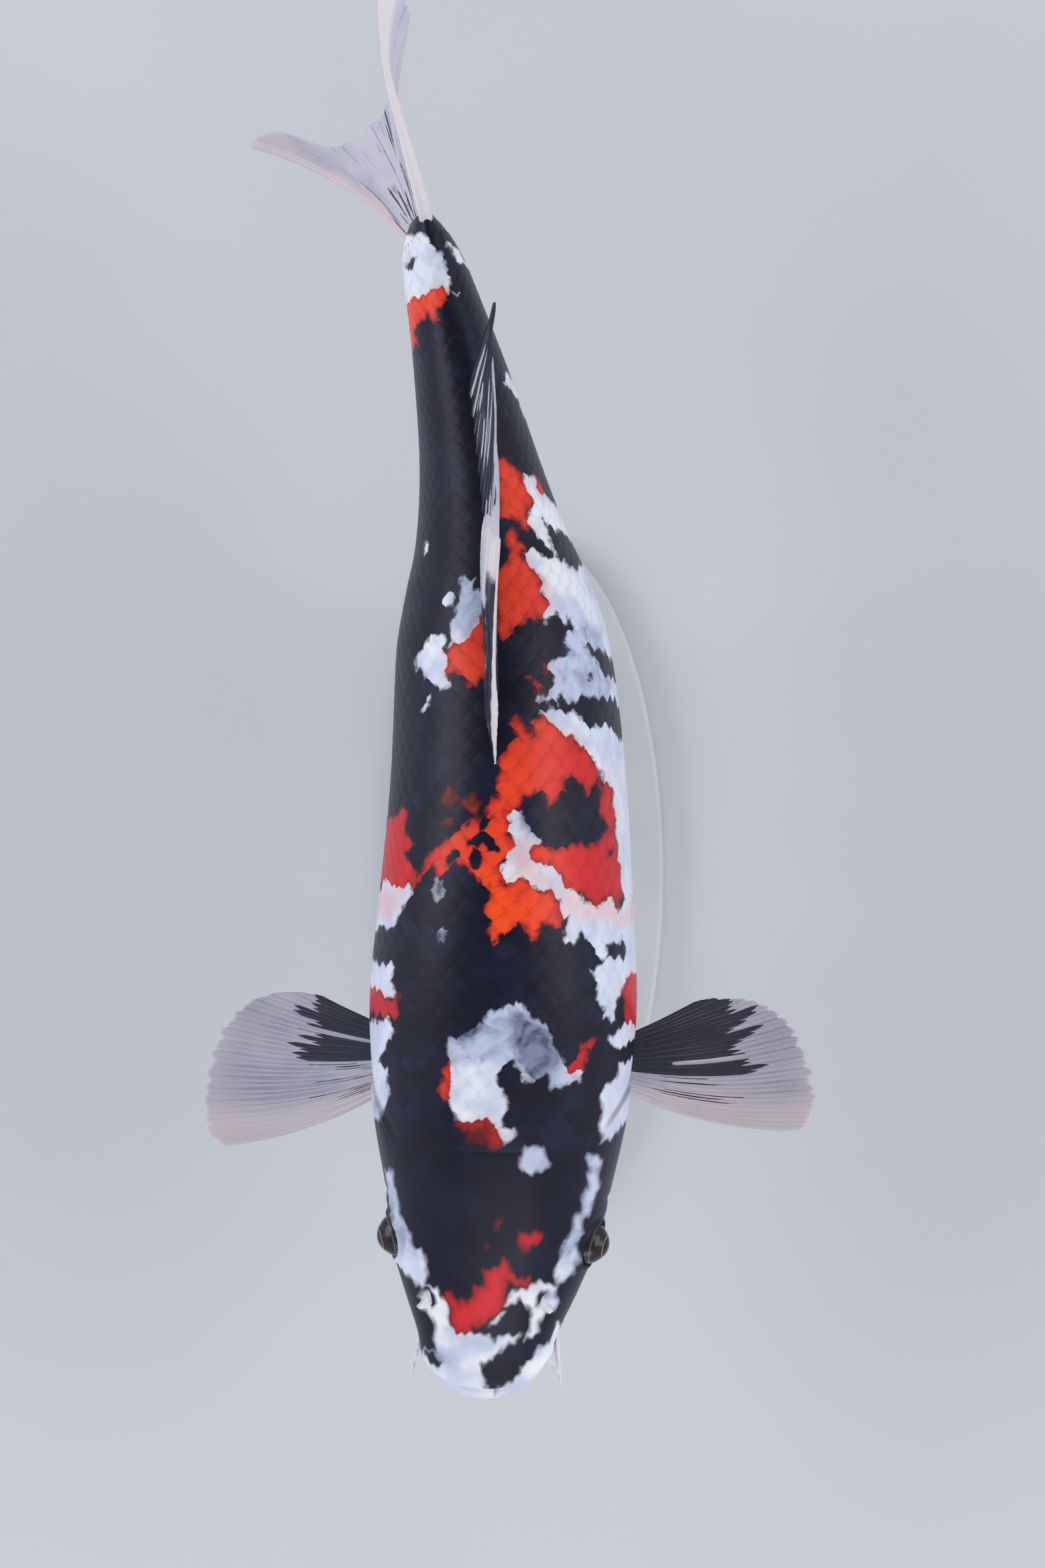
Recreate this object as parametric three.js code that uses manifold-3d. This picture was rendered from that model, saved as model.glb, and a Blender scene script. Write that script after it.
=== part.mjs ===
// A koi carp at life size, on a plain display stand.
//
// Millimetres, +Z up. The head points toward -Y and the tail toward +Y, so +X is the
// fish's left. The origin is on the underside of the stand, at the middle of its base.
import * as THREE from 'three';
import Module from 'manifold-3d';

const wasm = await Module();
wasm.setup();

// ---------------------------------------------------------------- driving dimensions

const standardLength = 420; // snout to the end of the fleshy part of the tail
const axisHeight = 134; // height of the body's axis above the floor
const gap = 0.3; // left between solids that would touch
const degree = Math.PI / 180;

// Headings of the body's axis seen from above, from +Y toward +X. Shares are of the
// standard length, from the snout.
const headHeading = 5.2 * degree;
const trunkHeading = 1.9 * degree;
const tailHeading = -17.5 * degree;
const neckTurn = { from: 0.13, to: 0.19 }; // where the head's heading becomes the trunk's
const bendStart = 0.46; // where the bend to the tail begins
const tailRoll = 9 * degree; // the tail rolls, its upper edge toward +X
const rollStart = 0.5;
const originShare = 0.434; // this share of the body is over the middle of the stand

const neckTopShare = 0.205; // where the head meets the trunk, on top
const neckSideShare = 0.252; // and low on the sides
const midShare = 0.46; // trunk_front meets trunk_rear
const ventShare = 0.74; // trunk_rear meets tail_peduncle

const eyeShare = 0.135; // centre of the eye along the body
const eyeAngle = 76 * degree; // and round it, from the ridge of the back
const eyeRadius = 6.8;
const eyeProud = 4.6; // how far the eyeball stands out of the plain head shape
const orbitRise = 2.6; // how far the skin swells round the eye
const orbitReach = 7.5; // spread of that swelling

const finEdge = 0.6; // thickness of a fin at its free edge

const skin = { black: 0x20222c, red: 0xd8391c, white: 0xe9e8ec };

// ---------------------------------------------------------------- small helpers

const lerp = (a, b, t) => a + (b - a) * t;
const clamp01 = (t) => Math.min(1, Math.max(0, t));
const smooth = (t) => clamp01(t) ** 2 * (3 - 2 * clamp01(t));
const signedPower = (value, power) => Math.sign(value) * Math.abs(value) ** power;

// A smooth curve through the points (places[i], values[i]).
function curveThrough(places, values) {
  const last = places.length - 1;
  const slopes = values.map((_, i) => {
    const before = Math.max(0, i - 1);
    const after = Math.min(last, i + 1);
    return (values[after] - values[before]) / (places[after] - places[before]);
  });
  return (place) => {
    const clamped = Math.min(places[last], Math.max(places[0], place));
    let i = 0;
    while (i < last - 1 && clamped > places[i + 1]) i += 1;
    const span = places[i + 1] - places[i];
    const t = (clamped - places[i]) / span;
    const t2 = t * t;
    const t3 = t2 * t;
    return (
      values[i] * (2 * t3 - 3 * t2 + 1) +
      slopes[i] * span * (t3 - 2 * t2 + t) +
      values[i + 1] * (3 * t2 - 2 * t3) +
      slopes[i + 1] * span * (t3 - t2)
    );
  };
}

// ---------------------------------------------------------------- the body's form

// Sections of the body. All values are shares of the standard length: where the section
// is, its half width, and the heights of the back and belly above the body's axis.
const sections = [
  { at: 0.004, wide: 0.0, back: -0.026, belly: -0.026 },
  { at: 0.012, wide: 0.034, back: -0.01, belly: -0.045 },
  { at: 0.028, wide: 0.051, back: 0.003, belly: -0.059 },
  { at: 0.055, wide: 0.06, back: 0.021, belly: -0.074 },
  { at: 0.1, wide: 0.077, back: 0.045, belly: -0.088 },
  { at: 0.15, wide: 0.089, back: 0.069, belly: -0.1 },
  { at: 0.22, wide: 0.1025, back: 0.098, belly: -0.116 },
  { at: 0.3, wide: 0.111, back: 0.123, belly: -0.129 },
  { at: 0.345, wide: 0.1117, back: 0.134, belly: -0.134 },
  { at: 0.42, wide: 0.106, back: 0.145, belly: -0.137 },
  { at: 0.52, wide: 0.0983, back: 0.148, belly: -0.132 },
  { at: 0.63, wide: 0.089, back: 0.131, belly: -0.117 },
  { at: 0.68, wide: 0.077, back: 0.119, belly: -0.106 },
  { at: 0.72, wide: 0.064, back: 0.107, belly: -0.096 },
  { at: 0.78, wide: 0.051, back: 0.091, belly: -0.08 },
  { at: 0.86, wide: 0.0395, back: 0.073, belly: -0.063 },
  { at: 0.91, wide: 0.0324, back: 0.066, belly: -0.058 },
  { at: 0.955, wide: 0.026, back: 0.063, belly: -0.057 },
  { at: 0.98, wide: 0.0185, back: 0.063, belly: -0.058 },
  { at: 0.992, wide: 0.011, back: 0.062, belly: -0.058 },
];
const noseShare = sections[0].at;
const endShare = sections[sections.length - 1].at;

// The square root makes the nose round instead of pointed.
const noseDistance = (share) => Math.sqrt(Math.max(0, share - noseShare));
const sectionPlaces = sections.map((section) => noseDistance(section.at));
const wideCurve = curveThrough(sectionPlaces, sections.map((section) => section.wide));
const backCurve = curveThrough(sectionPlaces, sections.map((section) => section.back));
const bellyCurve = curveThrough(sectionPlaces, sections.map((section) => section.belly));

// Where the sections of the body face, seen from above: nearly straight in front, then
// turning with the bend to the tail.
function sectionHeading(share) {
  const bend = clamp01((share - bendStart) / (1 - bendStart)) ** 0.93;
  return lerp(trunkHeading, tailHeading, bend);
}

// The axis follows the sections, and swerves a little more in the head.
function axisHeading(share) {
  const neck = smooth((share - neckTurn.from) / (neckTurn.to - neckTurn.from));
  return sectionHeading(share) + lerp(headHeading - trunkHeading, 0, neck);
}

function spinePlan(share) {
  const steps = 48;
  const point = { x: 0, y: 0 };
  for (let step = 0; step < steps; step += 1) {
    const heading = axisHeading(lerp(originShare, share, (step + 0.5) / steps));
    const length = ((share - originShare) * standardLength) / steps;
    point.x += Math.sin(heading) * length;
    point.y += Math.cos(heading) * length;
  }
  return point;
}

// A point beside the body's axis: `across` is toward the fish's left, `up` is along +Z.
function besideSpine(share, across, up) {
  const plan = spinePlan(share);
  const heading = sectionHeading(share);
  return new THREE.Vector3(
    plan.x + across * Math.cos(heading),
    plan.y - across * Math.sin(heading),
    axisHeight + up,
  );
}

// A point of the body's surface. The angle runs from the ridge of the back, 0, over the
// fish's left, +90 degrees, to the belly. `lift` moves the point out of the surface.
function plainPoint(share, angle, lift = 0) {
  const place = noseDistance(share);
  const wide = wideCurve(place) * standardLength;
  const back = backCurve(place) * standardLength;
  const belly = bellyCurve(place) * standardLength;
  const level = lerp(belly, back, 0.48);
  const headFlatness = 1 - smooth(share / 0.35);
  const up = Math.cos(angle);
  const fullness = up > 0 ? 2.05 + 0.35 * headFlatness : 2.2;
  const height = up > 0 ? back - level : level - belly;
  const across = (wide + lift) * signedPower(Math.sin(angle), 2 / fullness);
  const upward = level + (height + lift) * signedPower(up, 2 / fullness);
  const roll = tailRoll * Math.max(0, (share - rollStart) / (1 - rollStart)) ** 2;
  return besideSpine(
    share,
    across * Math.cos(roll) + upward * Math.sin(roll),
    upward * Math.cos(roll) - across * Math.sin(roll),
  );
}

const orbitCentres = [1, -1].map((side) => plainPoint(eyeShare, side * eyeAngle));

function bodyPoint(share, angle, lift = 0) {
  const plain = plainPoint(share, angle);
  let swelling = 0;
  for (const centre of orbitCentres) {
    swelling += orbitRise * Math.exp(-plain.distanceToSquared(centre) / (2 * orbitReach ** 2));
  }
  return plainPoint(share, angle, lift + swelling);
}

// ---------------------------------------------------------------- closed meshes

function geometryFrom(points, triangles) {
  const geometry = new THREE.BufferGeometry();
  const positions = new Float32Array(points.flatMap((point) => [point.x, point.y, point.z]));
  geometry.setAttribute('position', new THREE.BufferAttribute(positions, 3));
  geometry.setIndex(triangles);
  return geometry;
}

// A closed skin over rings of points that all have the same count, with a fan at each end.
function loft(rings) {
  const points = rings.flat();
  const triangles = [];
  const count = rings[0].length;
  for (let ring = 0; ring < rings.length - 1; ring += 1) {
    for (let i = 0; i < count; i += 1) {
      const a = ring * count + i;
      const b = ring * count + ((i + 1) % count);
      triangles.push(a, b, a + count, b, b + count, a + count);
    }
  }
  for (const end of [0, rings.length - 1]) {
    const middle = new THREE.Vector3();
    for (const point of rings[end]) middle.addScaledVector(point, 1 / count);
    points.push(middle);
    for (let i = 0; i < count; i += 1) {
      const a = end * count + i;
      const b = end * count + ((i + 1) % count);
      triangles.push(points.length - 1, end === 0 ? b : a, end === 0 ? a : b);
    }
  }
  return facingOut(geometryFrom(points, triangles));
}

// A closed plate between two grids of points of the same size.
function plate(topRows, underRows) {
  const rows = topRows.length;
  const columns = topRows[0].length;
  const points = [...topRows.flat(), ...underRows.flat()];
  const triangles = [];
  const top = (row, column) => row * columns + column;
  const under = (row, column) => rows * columns + top(row, column);
  const square = (a, b, c, d) => triangles.push(a, b, c, a, c, d);
  for (let r = 0; r < rows - 1; r += 1) {
    for (let c = 0; c < columns - 1; c += 1) {
      square(top(r, c), top(r, c + 1), top(r + 1, c + 1), top(r + 1, c));
      square(under(r, c), under(r + 1, c), under(r + 1, c + 1), under(r, c + 1));
    }
  }
  for (let c = 0; c < columns - 1; c += 1) {
    square(top(0, c), under(0, c), under(0, c + 1), top(0, c + 1));
    square(top(rows - 1, c), top(rows - 1, c + 1), under(rows - 1, c + 1), under(rows - 1, c));
  }
  for (let r = 0; r < rows - 1; r += 1) {
    square(top(r, 0), top(r + 1, 0), under(r + 1, 0), under(r, 0));
    square(top(r, columns - 1), under(r, columns - 1), under(r + 1, columns - 1), top(r + 1, columns - 1));
  }
  return facingOut(geometryFrom(points, triangles));
}

// Turns every triangle over if the faces point inward.
function facingOut(geometry) {
  const position = geometry.getAttribute('position');
  const index = geometry.getIndex().array;
  const corner = [0, 1, 2].map(() => new THREE.Vector3());
  let volume = 0;
  for (let i = 0; i < index.length; i += 3) {
    corner.forEach((point, k) => point.fromBufferAttribute(position, index[i + k]));
    volume += corner[0].dot(corner[1].cross(corner[2]));
  }
  if (volume < 0) {
    for (let i = 0; i < index.length; i += 3) {
      [index[i + 1], index[i + 2]] = [index[i + 2], index[i + 1]];
    }
  }
  return geometry;
}

function toSolid(geometry) {
  return new wasm.Manifold(new wasm.Mesh({
    numProp: 3,
    vertProperties: Float32Array.from(geometry.getAttribute('position').array),
    triVerts: Uint32Array.from(geometry.getIndex().array),
  }));
}

function toGeometry(solid) {
  const mesh = solid.getMesh();
  const geometry = new THREE.BufferGeometry();
  geometry.setAttribute('position', new THREE.BufferAttribute(mesh.vertProperties, 3));
  geometry.setIndex(new THREE.BufferAttribute(mesh.triVerts, 1));
  return geometry;
}

// Takes every cutter out of the geometry.
function cutBy(geometry, ...cutters) {
  return toGeometry(cutters.reduce((solid, cutter) => solid.subtract(cutter), toSolid(geometry)));
}

// A tube with round sections along a route, of the radius that radiusAt(t) gives.
function tube(routeAt, radiusAt, steps, sides) {
  const rings = [];
  const ahead = new THREE.Vector3();
  for (let step = 0; step <= steps; step += 1) {
    const t = step / steps;
    const middle = routeAt(t);
    ahead.subVectors(routeAt(Math.min(1, t + 0.01)), routeAt(Math.max(0, t - 0.01))).normalize();
    const across = new THREE.Vector3(0, 0, 1).cross(ahead);
    if (across.length() < 0.1) across.set(1, 0, 0);
    across.normalize();
    const over = new THREE.Vector3().crossVectors(ahead, across);
    const ring = [];
    for (let side = 0; side < sides; side += 1) {
      const angle = (side / sides) * 2 * Math.PI;
      ring.push(middle.clone()
        .addScaledVector(across, radiusAt(t) * Math.cos(angle))
        .addScaledVector(over, radiusAt(t) * Math.sin(angle)));
    }
    rings.push(ring);
  }
  return loft(rings);
}

// A thin sheet over the grid pointAt(u, v), u along the base and v out to the free edge.
function sheet(pointAt, thicknessAt, uSteps, vSteps, uRange = [0, 1]) {
  const nudge = 0.01;
  const top = [];
  const under = [];
  for (let i = 0; i <= uSteps; i += 1) {
    const u = lerp(uRange[0], uRange[1], i / uSteps);
    const topRow = [];
    const underRow = [];
    for (let j = 0; j <= vSteps; j += 1) {
      const v = j / vSteps;
      const point = pointAt(u, v);
      const alongU = pointAt(clamp01(u + nudge), v).sub(pointAt(clamp01(u - nudge), v));
      const alongV = pointAt(u, clamp01(v + nudge)).sub(pointAt(u, clamp01(v - nudge)));
      const normal = alongU.cross(alongV).normalize();
      const half = thicknessAt(u, v) / 2;
      topRow.push(point.clone().addScaledVector(normal, half));
      underRow.push(point.clone().addScaledVector(normal, -half));
    }
    top.push(topRow);
    under.push(underRow);
  }
  return plate(top, under);
}

// The point at v along a bent fin ray; directionAt(v) gives its direction as a unit vector.
function alongRay(base, length, v, directionAt) {
  const steps = 12;
  const point = base.clone();
  for (let step = 0; step < steps; step += 1) {
    point.addScaledVector(directionAt((v * (step + 0.5)) / steps), (length * v) / steps);
  }
  return point;
}

// A unit vector from a heading in plan, measured from +Y toward +X, and an elevation.
function direction(heading, elevation) {
  return new THREE.Vector3(
    Math.sin(heading) * Math.cos(elevation),
    Math.cos(heading) * Math.cos(elevation),
    Math.sin(elevation),
  );
}

// ---------------------------------------------------------------- finished parts

const koi = new THREE.Group();

function add(name, geometry, color, roughness = 0.35, metalness = 0) {
  const material = new THREE.MeshStandardMaterial({ color, roughness, metalness });
  const mesh = new THREE.Mesh(geometry, material);
  mesh.name = name;
  koi.add(mesh);
}

const bodySides = 32; // facets round the body

// A length of the body from startAt(angle) to endAt(angle), as shares.
function bodyLength(startAt, endAt, ringCount, lift = 0) {
  const rings = [];
  for (let ring = 0; ring <= ringCount; ring += 1) {
    const points = [];
    for (let side = 0; side < bodySides; side += 1) {
      const angle = (side / bodySides) * 2 * Math.PI;
      const share = lerp(startAt(angle), endAt(angle), ring / ringCount);
      points.push(bodyPoint(share, angle, lift));
    }
    rings.push(points);
  }
  return loft(rings);
}

// Where the head ends: the cut leans back from the nape to the throat.
const neckShare = (angle) => lerp(neckTopShare, neckSideShare, smooth((1 - Math.cos(angle)) / 1.4));
const gapShare = gap / standardLength;

// The head's rings crowd toward the nose, where the form turns fastest.
function headLength(lift) {
  const ringCount = 15;
  const rings = [];
  for (let ring = 0; ring <= ringCount; ring += 1) {
    const crowded = (ring === 0 ? 0.02 : ring / ringCount) ** 1.7;
    const points = [];
    for (let side = 0; side < bodySides; side += 1) {
      const angle = (side / bodySides) * 2 * Math.PI;
      const share = lerp(noseShare, neckShare(angle), crowded);
      points.push(bodyPoint(share, angle, lift));
    }
    rings.push(points);
  }
  return loft(rings);
}

// -- lips: the arc of the mouth seen from above, dropping toward its corners

const mouthCornerShare = 0.056;
const lipArc = { halfWidth: 22.6, reach: 22.8, frontUp: -14.5, cornerDrop: 7 };

function lipRoute(t, back, down) {
  const angle = lerp(-90, 90, t) * degree;
  const ahead = (lipArc.reach - back) * Math.cos(angle);
  const share = mouthCornerShare - ahead / standardLength;
  const drop = lipArc.cornerDrop * (1 - Math.cos(angle));
  return besideSpine(share, lipArc.halfWidth * Math.sin(angle), lipArc.frontUp - drop - down);
}

const lipThickness = (t, front, corner) => lerp(corner, front, Math.sin(Math.PI * t) ** 0.7);
const upperLipRoute = (t) => lipRoute(t, 0, 0);
const lowerLipRoute = (t) => lipRoute(lerp(0.03, 0.97, t), 2.6, 5.4);
const upperLip = (grow) => tube(upperLipRoute, (t) => lipThickness(t, 3.1, 1.8) + grow, 14, 7);
const lowerLip = (grow) => tube(lowerLipRoute, (t) => lipThickness(t, 2.5, 1.2) + grow, 12, 7);

// -- gill covers: curved plates on the cheeks, free along their round rear edge

const coverTop = 48 * degree;
const coverBottom = 150 * degree;
const coverThickness = 4;
const coverRise = 0.9; // how far the rear edge stands out of the body

function coverShare(across, along) {
  const bulge = Math.sin(Math.PI * across);
  const front = 0.186 - 0.016 * bulge;
  const rear = lerp(0.206, 0.196, across) + 0.064 * bulge ** 0.8;
  return lerp(front, rear, along);
}

function gillCover(side, grow) {
  const growShare = grow / standardLength;
  const top = [];
  const under = [];
  const angleGrow = grow / 40;
  const columns = 8;
  const rows = 5;
  for (let i = 0; i <= columns; i += 1) {
    const across = i / columns;
    const angle = side * lerp(coverTop - angleGrow, coverBottom + angleGrow, across);
    const topRow = [];
    const underRow = [];
    for (let j = 0; j <= rows; j += 1) {
      const along = j / rows;
      const share = coverShare(across, along) + lerp(-growShare, growShare, along);
      const rise = coverRise * smooth(along) * Math.sin(Math.PI * across) ** 0.5;
      topRow.push(bodyPoint(share, angle, grow > 0 ? 4 : rise));
      underRow.push(bodyPoint(share, angle, -coverThickness - grow));
    }
    top.push(topRow);
    under.push(underRow);
  }
  return plate(top, under);
}

// -- eyes

function eyeCentre(side) {
  const surface = orbitCentres[side > 0 ? 0 : 1];
  const axis = besideSpine(eyeShare, 0, surface.z - axisHeight);
  const outward = surface.clone().sub(axis).normalize();
  return surface.clone().addScaledVector(outward, eyeProud - eyeRadius);
}

function ball(centre, radius) {
  const rings = [];
  const bands = 8;
  const facets = 14;
  for (let band = 0; band <= bands; band += 1) {
    const polar = lerp(0.04, Math.PI - 0.04, band / bands);
    const ring = [];
    for (let side = 0; side < facets; side += 1) {
      const angle = (side / facets) * 2 * Math.PI;
      ring.push(new THREE.Vector3(
        radius * Math.cos(polar),
        radius * Math.sin(polar) * Math.cos(angle),
        radius * Math.sin(polar) * Math.sin(angle),
      ).add(centre));
    }
    rings.push(ring);
  }
  return loft(rings);
}

// ---------------------------------------------------------------- body

const sides = [{ name: 'left', side: 1 }, { name: 'right', side: -1 }];

const mouthCutters = [upperLip(gap), lowerLip(gap)].map(toSolid);
const coverCutters = sides.map(({ side }) => toSolid(gillCover(side, gap)));
const eyeCutters = sides.map(({ side }) => toSolid(ball(eyeCentre(side), eyeRadius + gap)));

// The lower jaw is parted from the head by a thin cut that runs back below the mouth and
// then turns down under the cheeks.
function jawCut() {
  const route = [
    { share: 0, up: -18.6 },
    { share: 0.098, up: -31 },
    { share: 0.122, up: -56 },
  ];
  const halfAcross = 60;
  const pointAt = (u, v) => {
    const leg = v < 0.5 ? 0 : 1;
    const t = v * 2 - leg;
    return besideSpine(
      lerp(route[leg].share, route[leg + 1].share, t),
      lerp(-halfAcross, halfAcross, u),
      lerp(route[leg].up, route[leg + 1].up, t),
    );
  };
  return toSolid(sheet(pointAt, () => gap, 1, 2));
}

const headPieces = toSolid(headLength(0))
  .subtract(mouthCutters[0])
  .subtract(mouthCutters[1])
  .subtract(eyeCutters[0])
  .subtract(eyeCutters[1])
  .subtract(coverCutters[0])
  .subtract(coverCutters[1])
  .subtract(jawCut())
  .decompose()
  .sort((a, b) => b.volume() - a.volume());

add('head', toGeometry(headPieces[0]), skin.black);
add('jaw_lower', toGeometry(headPieces[1]), skin.white);
add('lip_upper', upperLip(0), skin.white);
add('lip_lower', cutBy(lowerLip(0), mouthCutters[0]), skin.white);

for (const { name, side } of sides) {
  add(`gill_cover_${name}`, gillCover(side, 0), skin.black);
  add(`eye_${name}`, ball(eyeCentre(side), eyeRadius), 0x15120f, 0.05);
}

const trunkStart = (angle) => neckShare(angle) + gapShare;
add('trunk_front', cutBy(bodyLength(trunkStart, () => midShare, 7), ...coverCutters), skin.black);
add('trunk_rear', bodyLength(() => midShare + gapShare, () => ventShare, 7), skin.black);
add('tail_peduncle', bodyLength(() => ventShare + gapShare, () => endShare, 8), skin.black);

// Fins, barbels and rods are cut off where they enter the body.
const bodyCutter = toSolid(bodyLength(() => 0.2, () => endShare + gapShare, 26, gap));
const headCutter = toSolid(headLength(gap));

function addFin(name, geometry, color) {
  add(name, cutBy(geometry, bodyCutter, ...coverCutters), color, 0.4);
}

// ---------------------------------------------------------------- fins

const finThickness = (root, reach = 0.35) => (u, v) => lerp(root, finEdge, smooth(v / reach));

// Dorsal fin: folded back along the ridge. Its leading spine leans toward the fish's right,
// and the rest leans left, ever more toward the rear, where the back bends away under it.
const dorsal = { frontShare: 0.521, rearShare: 0.832, embedded: 5 };
const dorsalPlaces = [0, 0.14, 0.5, 0.8, 1];
const dorsalLength = curveThrough(dorsalPlaces, [78, 70, 50, 43, 27]);
const dorsalHeading = curveThrough(dorsalPlaces, [-3, 2.5, 3, 6, 16]);
const dorsalElevation = curveThrough(dorsalPlaces, [15, 14, 7, 3, 5]);

function dorsalPoint(u, v) {
  const share = lerp(dorsal.frontShare, dorsal.rearShare, u);
  const base = bodyPoint(share, 0, -dorsal.embedded);
  const bow = lerp(5, 0, smooth(u / 0.2));
  const steepRoot = lerp(34, 30, u);
  return alongRay(base, dorsalLength(u) + dorsal.embedded * 2, v, (t) => direction(
    (dorsalHeading(u) + lerp(-bow, bow, t)) * degree,
    (dorsalElevation(u) + steepRoot * (1 - smooth(t * 3.2))) * degree,
  ));
}

const dorsalThickness = (u, v) => {
  const root = lerp(5.4, 2.4, smooth(u / 0.22));
  return lerp(root, finEdge, smooth(v / lerp(0.95, 0.6, smooth(u / 0.2))));
};
addFin('dorsal_fin', sheet(dorsalPoint, dorsalThickness, 14, 7), skin.white);

// Tail fin: the upper lobe follows the body and its tip curls toward the fish's left, and
// the lower lobe is swept far round toward the fish's right.
const tailPlaces = [0, 0.35, 0.45, 0.55, 0.65, 0.85, 1];
const tailRayHeading = curveThrough(tailPlaces, [-13, -15, -19, -31, -42, -50, -57]);
const tailRayLength = curveThrough([0, 0.12, 0.3, 0.5, 0.72, 0.9, 1], [98, 88, 60, 45, 55, 86, 97]);
const tailCurl = curveThrough([0, 0.06, 0.2, 0.36, 0.55, 1], [14, 28, 38, 12, -4, -34]);

function tailPoint(u, v) {
  const up = lerp(0.0575, -0.0535, u) * standardLength;
  const base = besideSpine(lerp(0.98, 0.978, u), up * Math.sin(tailRoll), up);
  const elevation = lerp(32, -36, u) * degree;
  return alongRay(base, tailRayLength(u), v, (t) => {
    const curl = u < 0.4 ? smooth((t - 0.45) / 0.55) : t - 0.5;
    return direction((tailRayHeading(u) + tailCurl(u) * curl) * degree, elevation * (1 - 0.35 * t));
  });
}

const tailThickness = (u, v) => {
  const edgeRay = smooth((Math.abs(2 * u - 1) - 0.78) / 0.22);
  return lerp(lerp(2.2, 5.2, edgeRay), lerp(finEdge, 0.9, edgeRay), smooth(v / lerp(0.5, 1, edgeRay)));
};
const forkCut = 0.006;
addFin('caudal_fin_upper', sheet(tailPoint, tailThickness, 8, 8, [0, 0.5 - forkCut]), skin.white);
addFin('caudal_fin_lower', sheet(tailPoint, tailThickness, 8, 8, [0.5 + forkCut, 1]), skin.white);

// Anal fin: short, below the rear of the body, and raked back.
const analLength = curveThrough([0, 0.25, 1], [52, 46, 26]);

function analPoint(u, v) {
  const share = lerp(0.775, 0.85, u);
  const base = bodyPoint(share, Math.PI, -4);
  const rake = lerp(-52, -34, u) * degree;
  return alongRay(base, analLength(u), v, (t) => direction(sectionHeading(share), rake + 18 * degree * t));
}

addFin('anal_fin', sheet(analPoint, finThickness(2.8), 6, 5), skin.white);

// Pectoral fins: broad fans held out level, low behind the gill covers.
const pectoralAhead = { left: 31, right: 38 };
const pectoralLength = curveThrough([0, 0.12, 0.4, 0.7, 0.88, 1], [71, 74, 70, 62, 50, 34]);

function pectoralPoint(side, ahead) {
  return (u, v) => {
    const base = bodyPoint(lerp(0.268, 0.292, u), side * lerp(124, 129, u) * degree, -7);
    const spread = lerp(ahead, -22, u) * degree;
    return alongRay(base, pectoralLength(u) + 7, v, (t) => {
      const sweep = spread - lerp(34, 6, u) * degree * t;
      const rise = lerp(-6, 13, t) * degree;
      return direction(side * (Math.PI / 2 + sweep), rise);
    });
  };
}

// Pelvic fins: smaller, on the belly, trailing back and a little outward.
const pelvicLength = curveThrough([0, 0.2, 0.6, 1], [44, 46, 38, 24]);

function pelvicPoint(side) {
  return (u, v) => {
    const base = bodyPoint(lerp(0.492, 0.515, u), side * lerp(147, 157, u) * degree, -5);
    const outward = lerp(23, 2, u) * degree;
    return alongRay(base, pelvicLength(u) + 5, v, (t) => (
      direction(side * (outward - 12 * degree * t), lerp(-34, -12, t) * degree)
    ));
  };
}

for (const { name, side } of sides) {
  const pectoralThickness = (u, v) => lerp(lerp(4.2, 2.4, u), finEdge, smooth(v / 0.7));
  const pectoral = sheet(pectoralPoint(side, pectoralAhead[name]), pectoralThickness, 9, 6);
  addFin(`pectoral_fin_${name}`, pectoral, skin.white);
  addFin(`pelvic_fin_${name}`, sheet(pelvicPoint(side), finThickness(2.6), 6, 6), skin.white);
}

// ---------------------------------------------------------------- feelers and nostril flaps

// A tapered feeler from a point of the mouth, ahead and out, then drooping.
function feeler(start, length, outward, droop, thick) {
  const ahead = Math.PI + headHeading;
  const routeAt = (t) => alongRay(start, length, t, (v) => (
    direction(ahead - outward * (1 - 0.5 * v), lerp(-droop * 0.3, -droop, v))
  ));
  return tube(routeAt, (t) => lerp(thick, 0.45, t ** 0.8), 6, 6);
}

for (const { name, side } of sides) {
  const corner = besideSpine(mouthCornerShare - 0.004, side * 23.2, -22);
  const cornerFeeler = feeler(corner, 21, side * 14 * degree, 24 * degree, 1.5);
  add(`barbel_corner_${name}`, cutBy(cornerFeeler, headCutter, ...mouthCutters), skin.white);
  const upper = besideSpine(0.034, side * 19.4, -14.4);
  const upperFeeler = feeler(upper, 11, side * 62 * degree, 18 * degree, 1.1);
  add(`barbel_upper_${name}`, cutBy(upperFeeler, headCutter, ...mouthCutters), skin.white);
}

// A small pointed flap of skin beside each nostril, standing up and outward.
const nostril = { share: 0.085, angle: 38 * degree, length: 5.2, width: 4.6 };

function nostrilFlap(side) {
  const pointAt = (u, v) => {
    const share = nostril.share + ((u - 0.5) * nostril.width * (1 - 0.86 * v)) / standardLength;
    const root = bodyPoint(share - 0.004 * v, side * nostril.angle, -1);
    return root.addScaledVector(direction(side * 115 * degree, 34 * degree), (nostril.length + 1) * v);
  };
  return sheet(pointAt, (u, v) => lerp(1.2, 0.7, v), 3, 4);
}

for (const { name, side } of sides) {
  add(`nostril_flap_${name}`, cutBy(nostrilFlap(side), headCutter), skin.white);
}

// ---------------------------------------------------------------- display stand

const stand = {
  halfWidth: 50,
  halfLength: 128,
  thickness: 9,
  bevel: 2,
  rodRadius: 4.5,
  rodShares: [0.335, 0.61],
};

const baseOutline = new THREE.Shape();
baseOutline.absellipse(0, 0, stand.halfWidth - stand.bevel, stand.halfLength - stand.bevel, 0, 2 * Math.PI);
const basePlate = new THREE.ExtrudeGeometry(baseOutline, {
  depth: stand.thickness - 2 * stand.bevel,
  bevelEnabled: true,
  bevelThickness: stand.bevel,
  bevelSize: stand.bevel,
  bevelSegments: 1,
  curveSegments: 16,
});
basePlate.translate(0, 0, stand.bevel);
add('stand_base', basePlate, 0xd9d9d6, 0.6);

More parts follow.
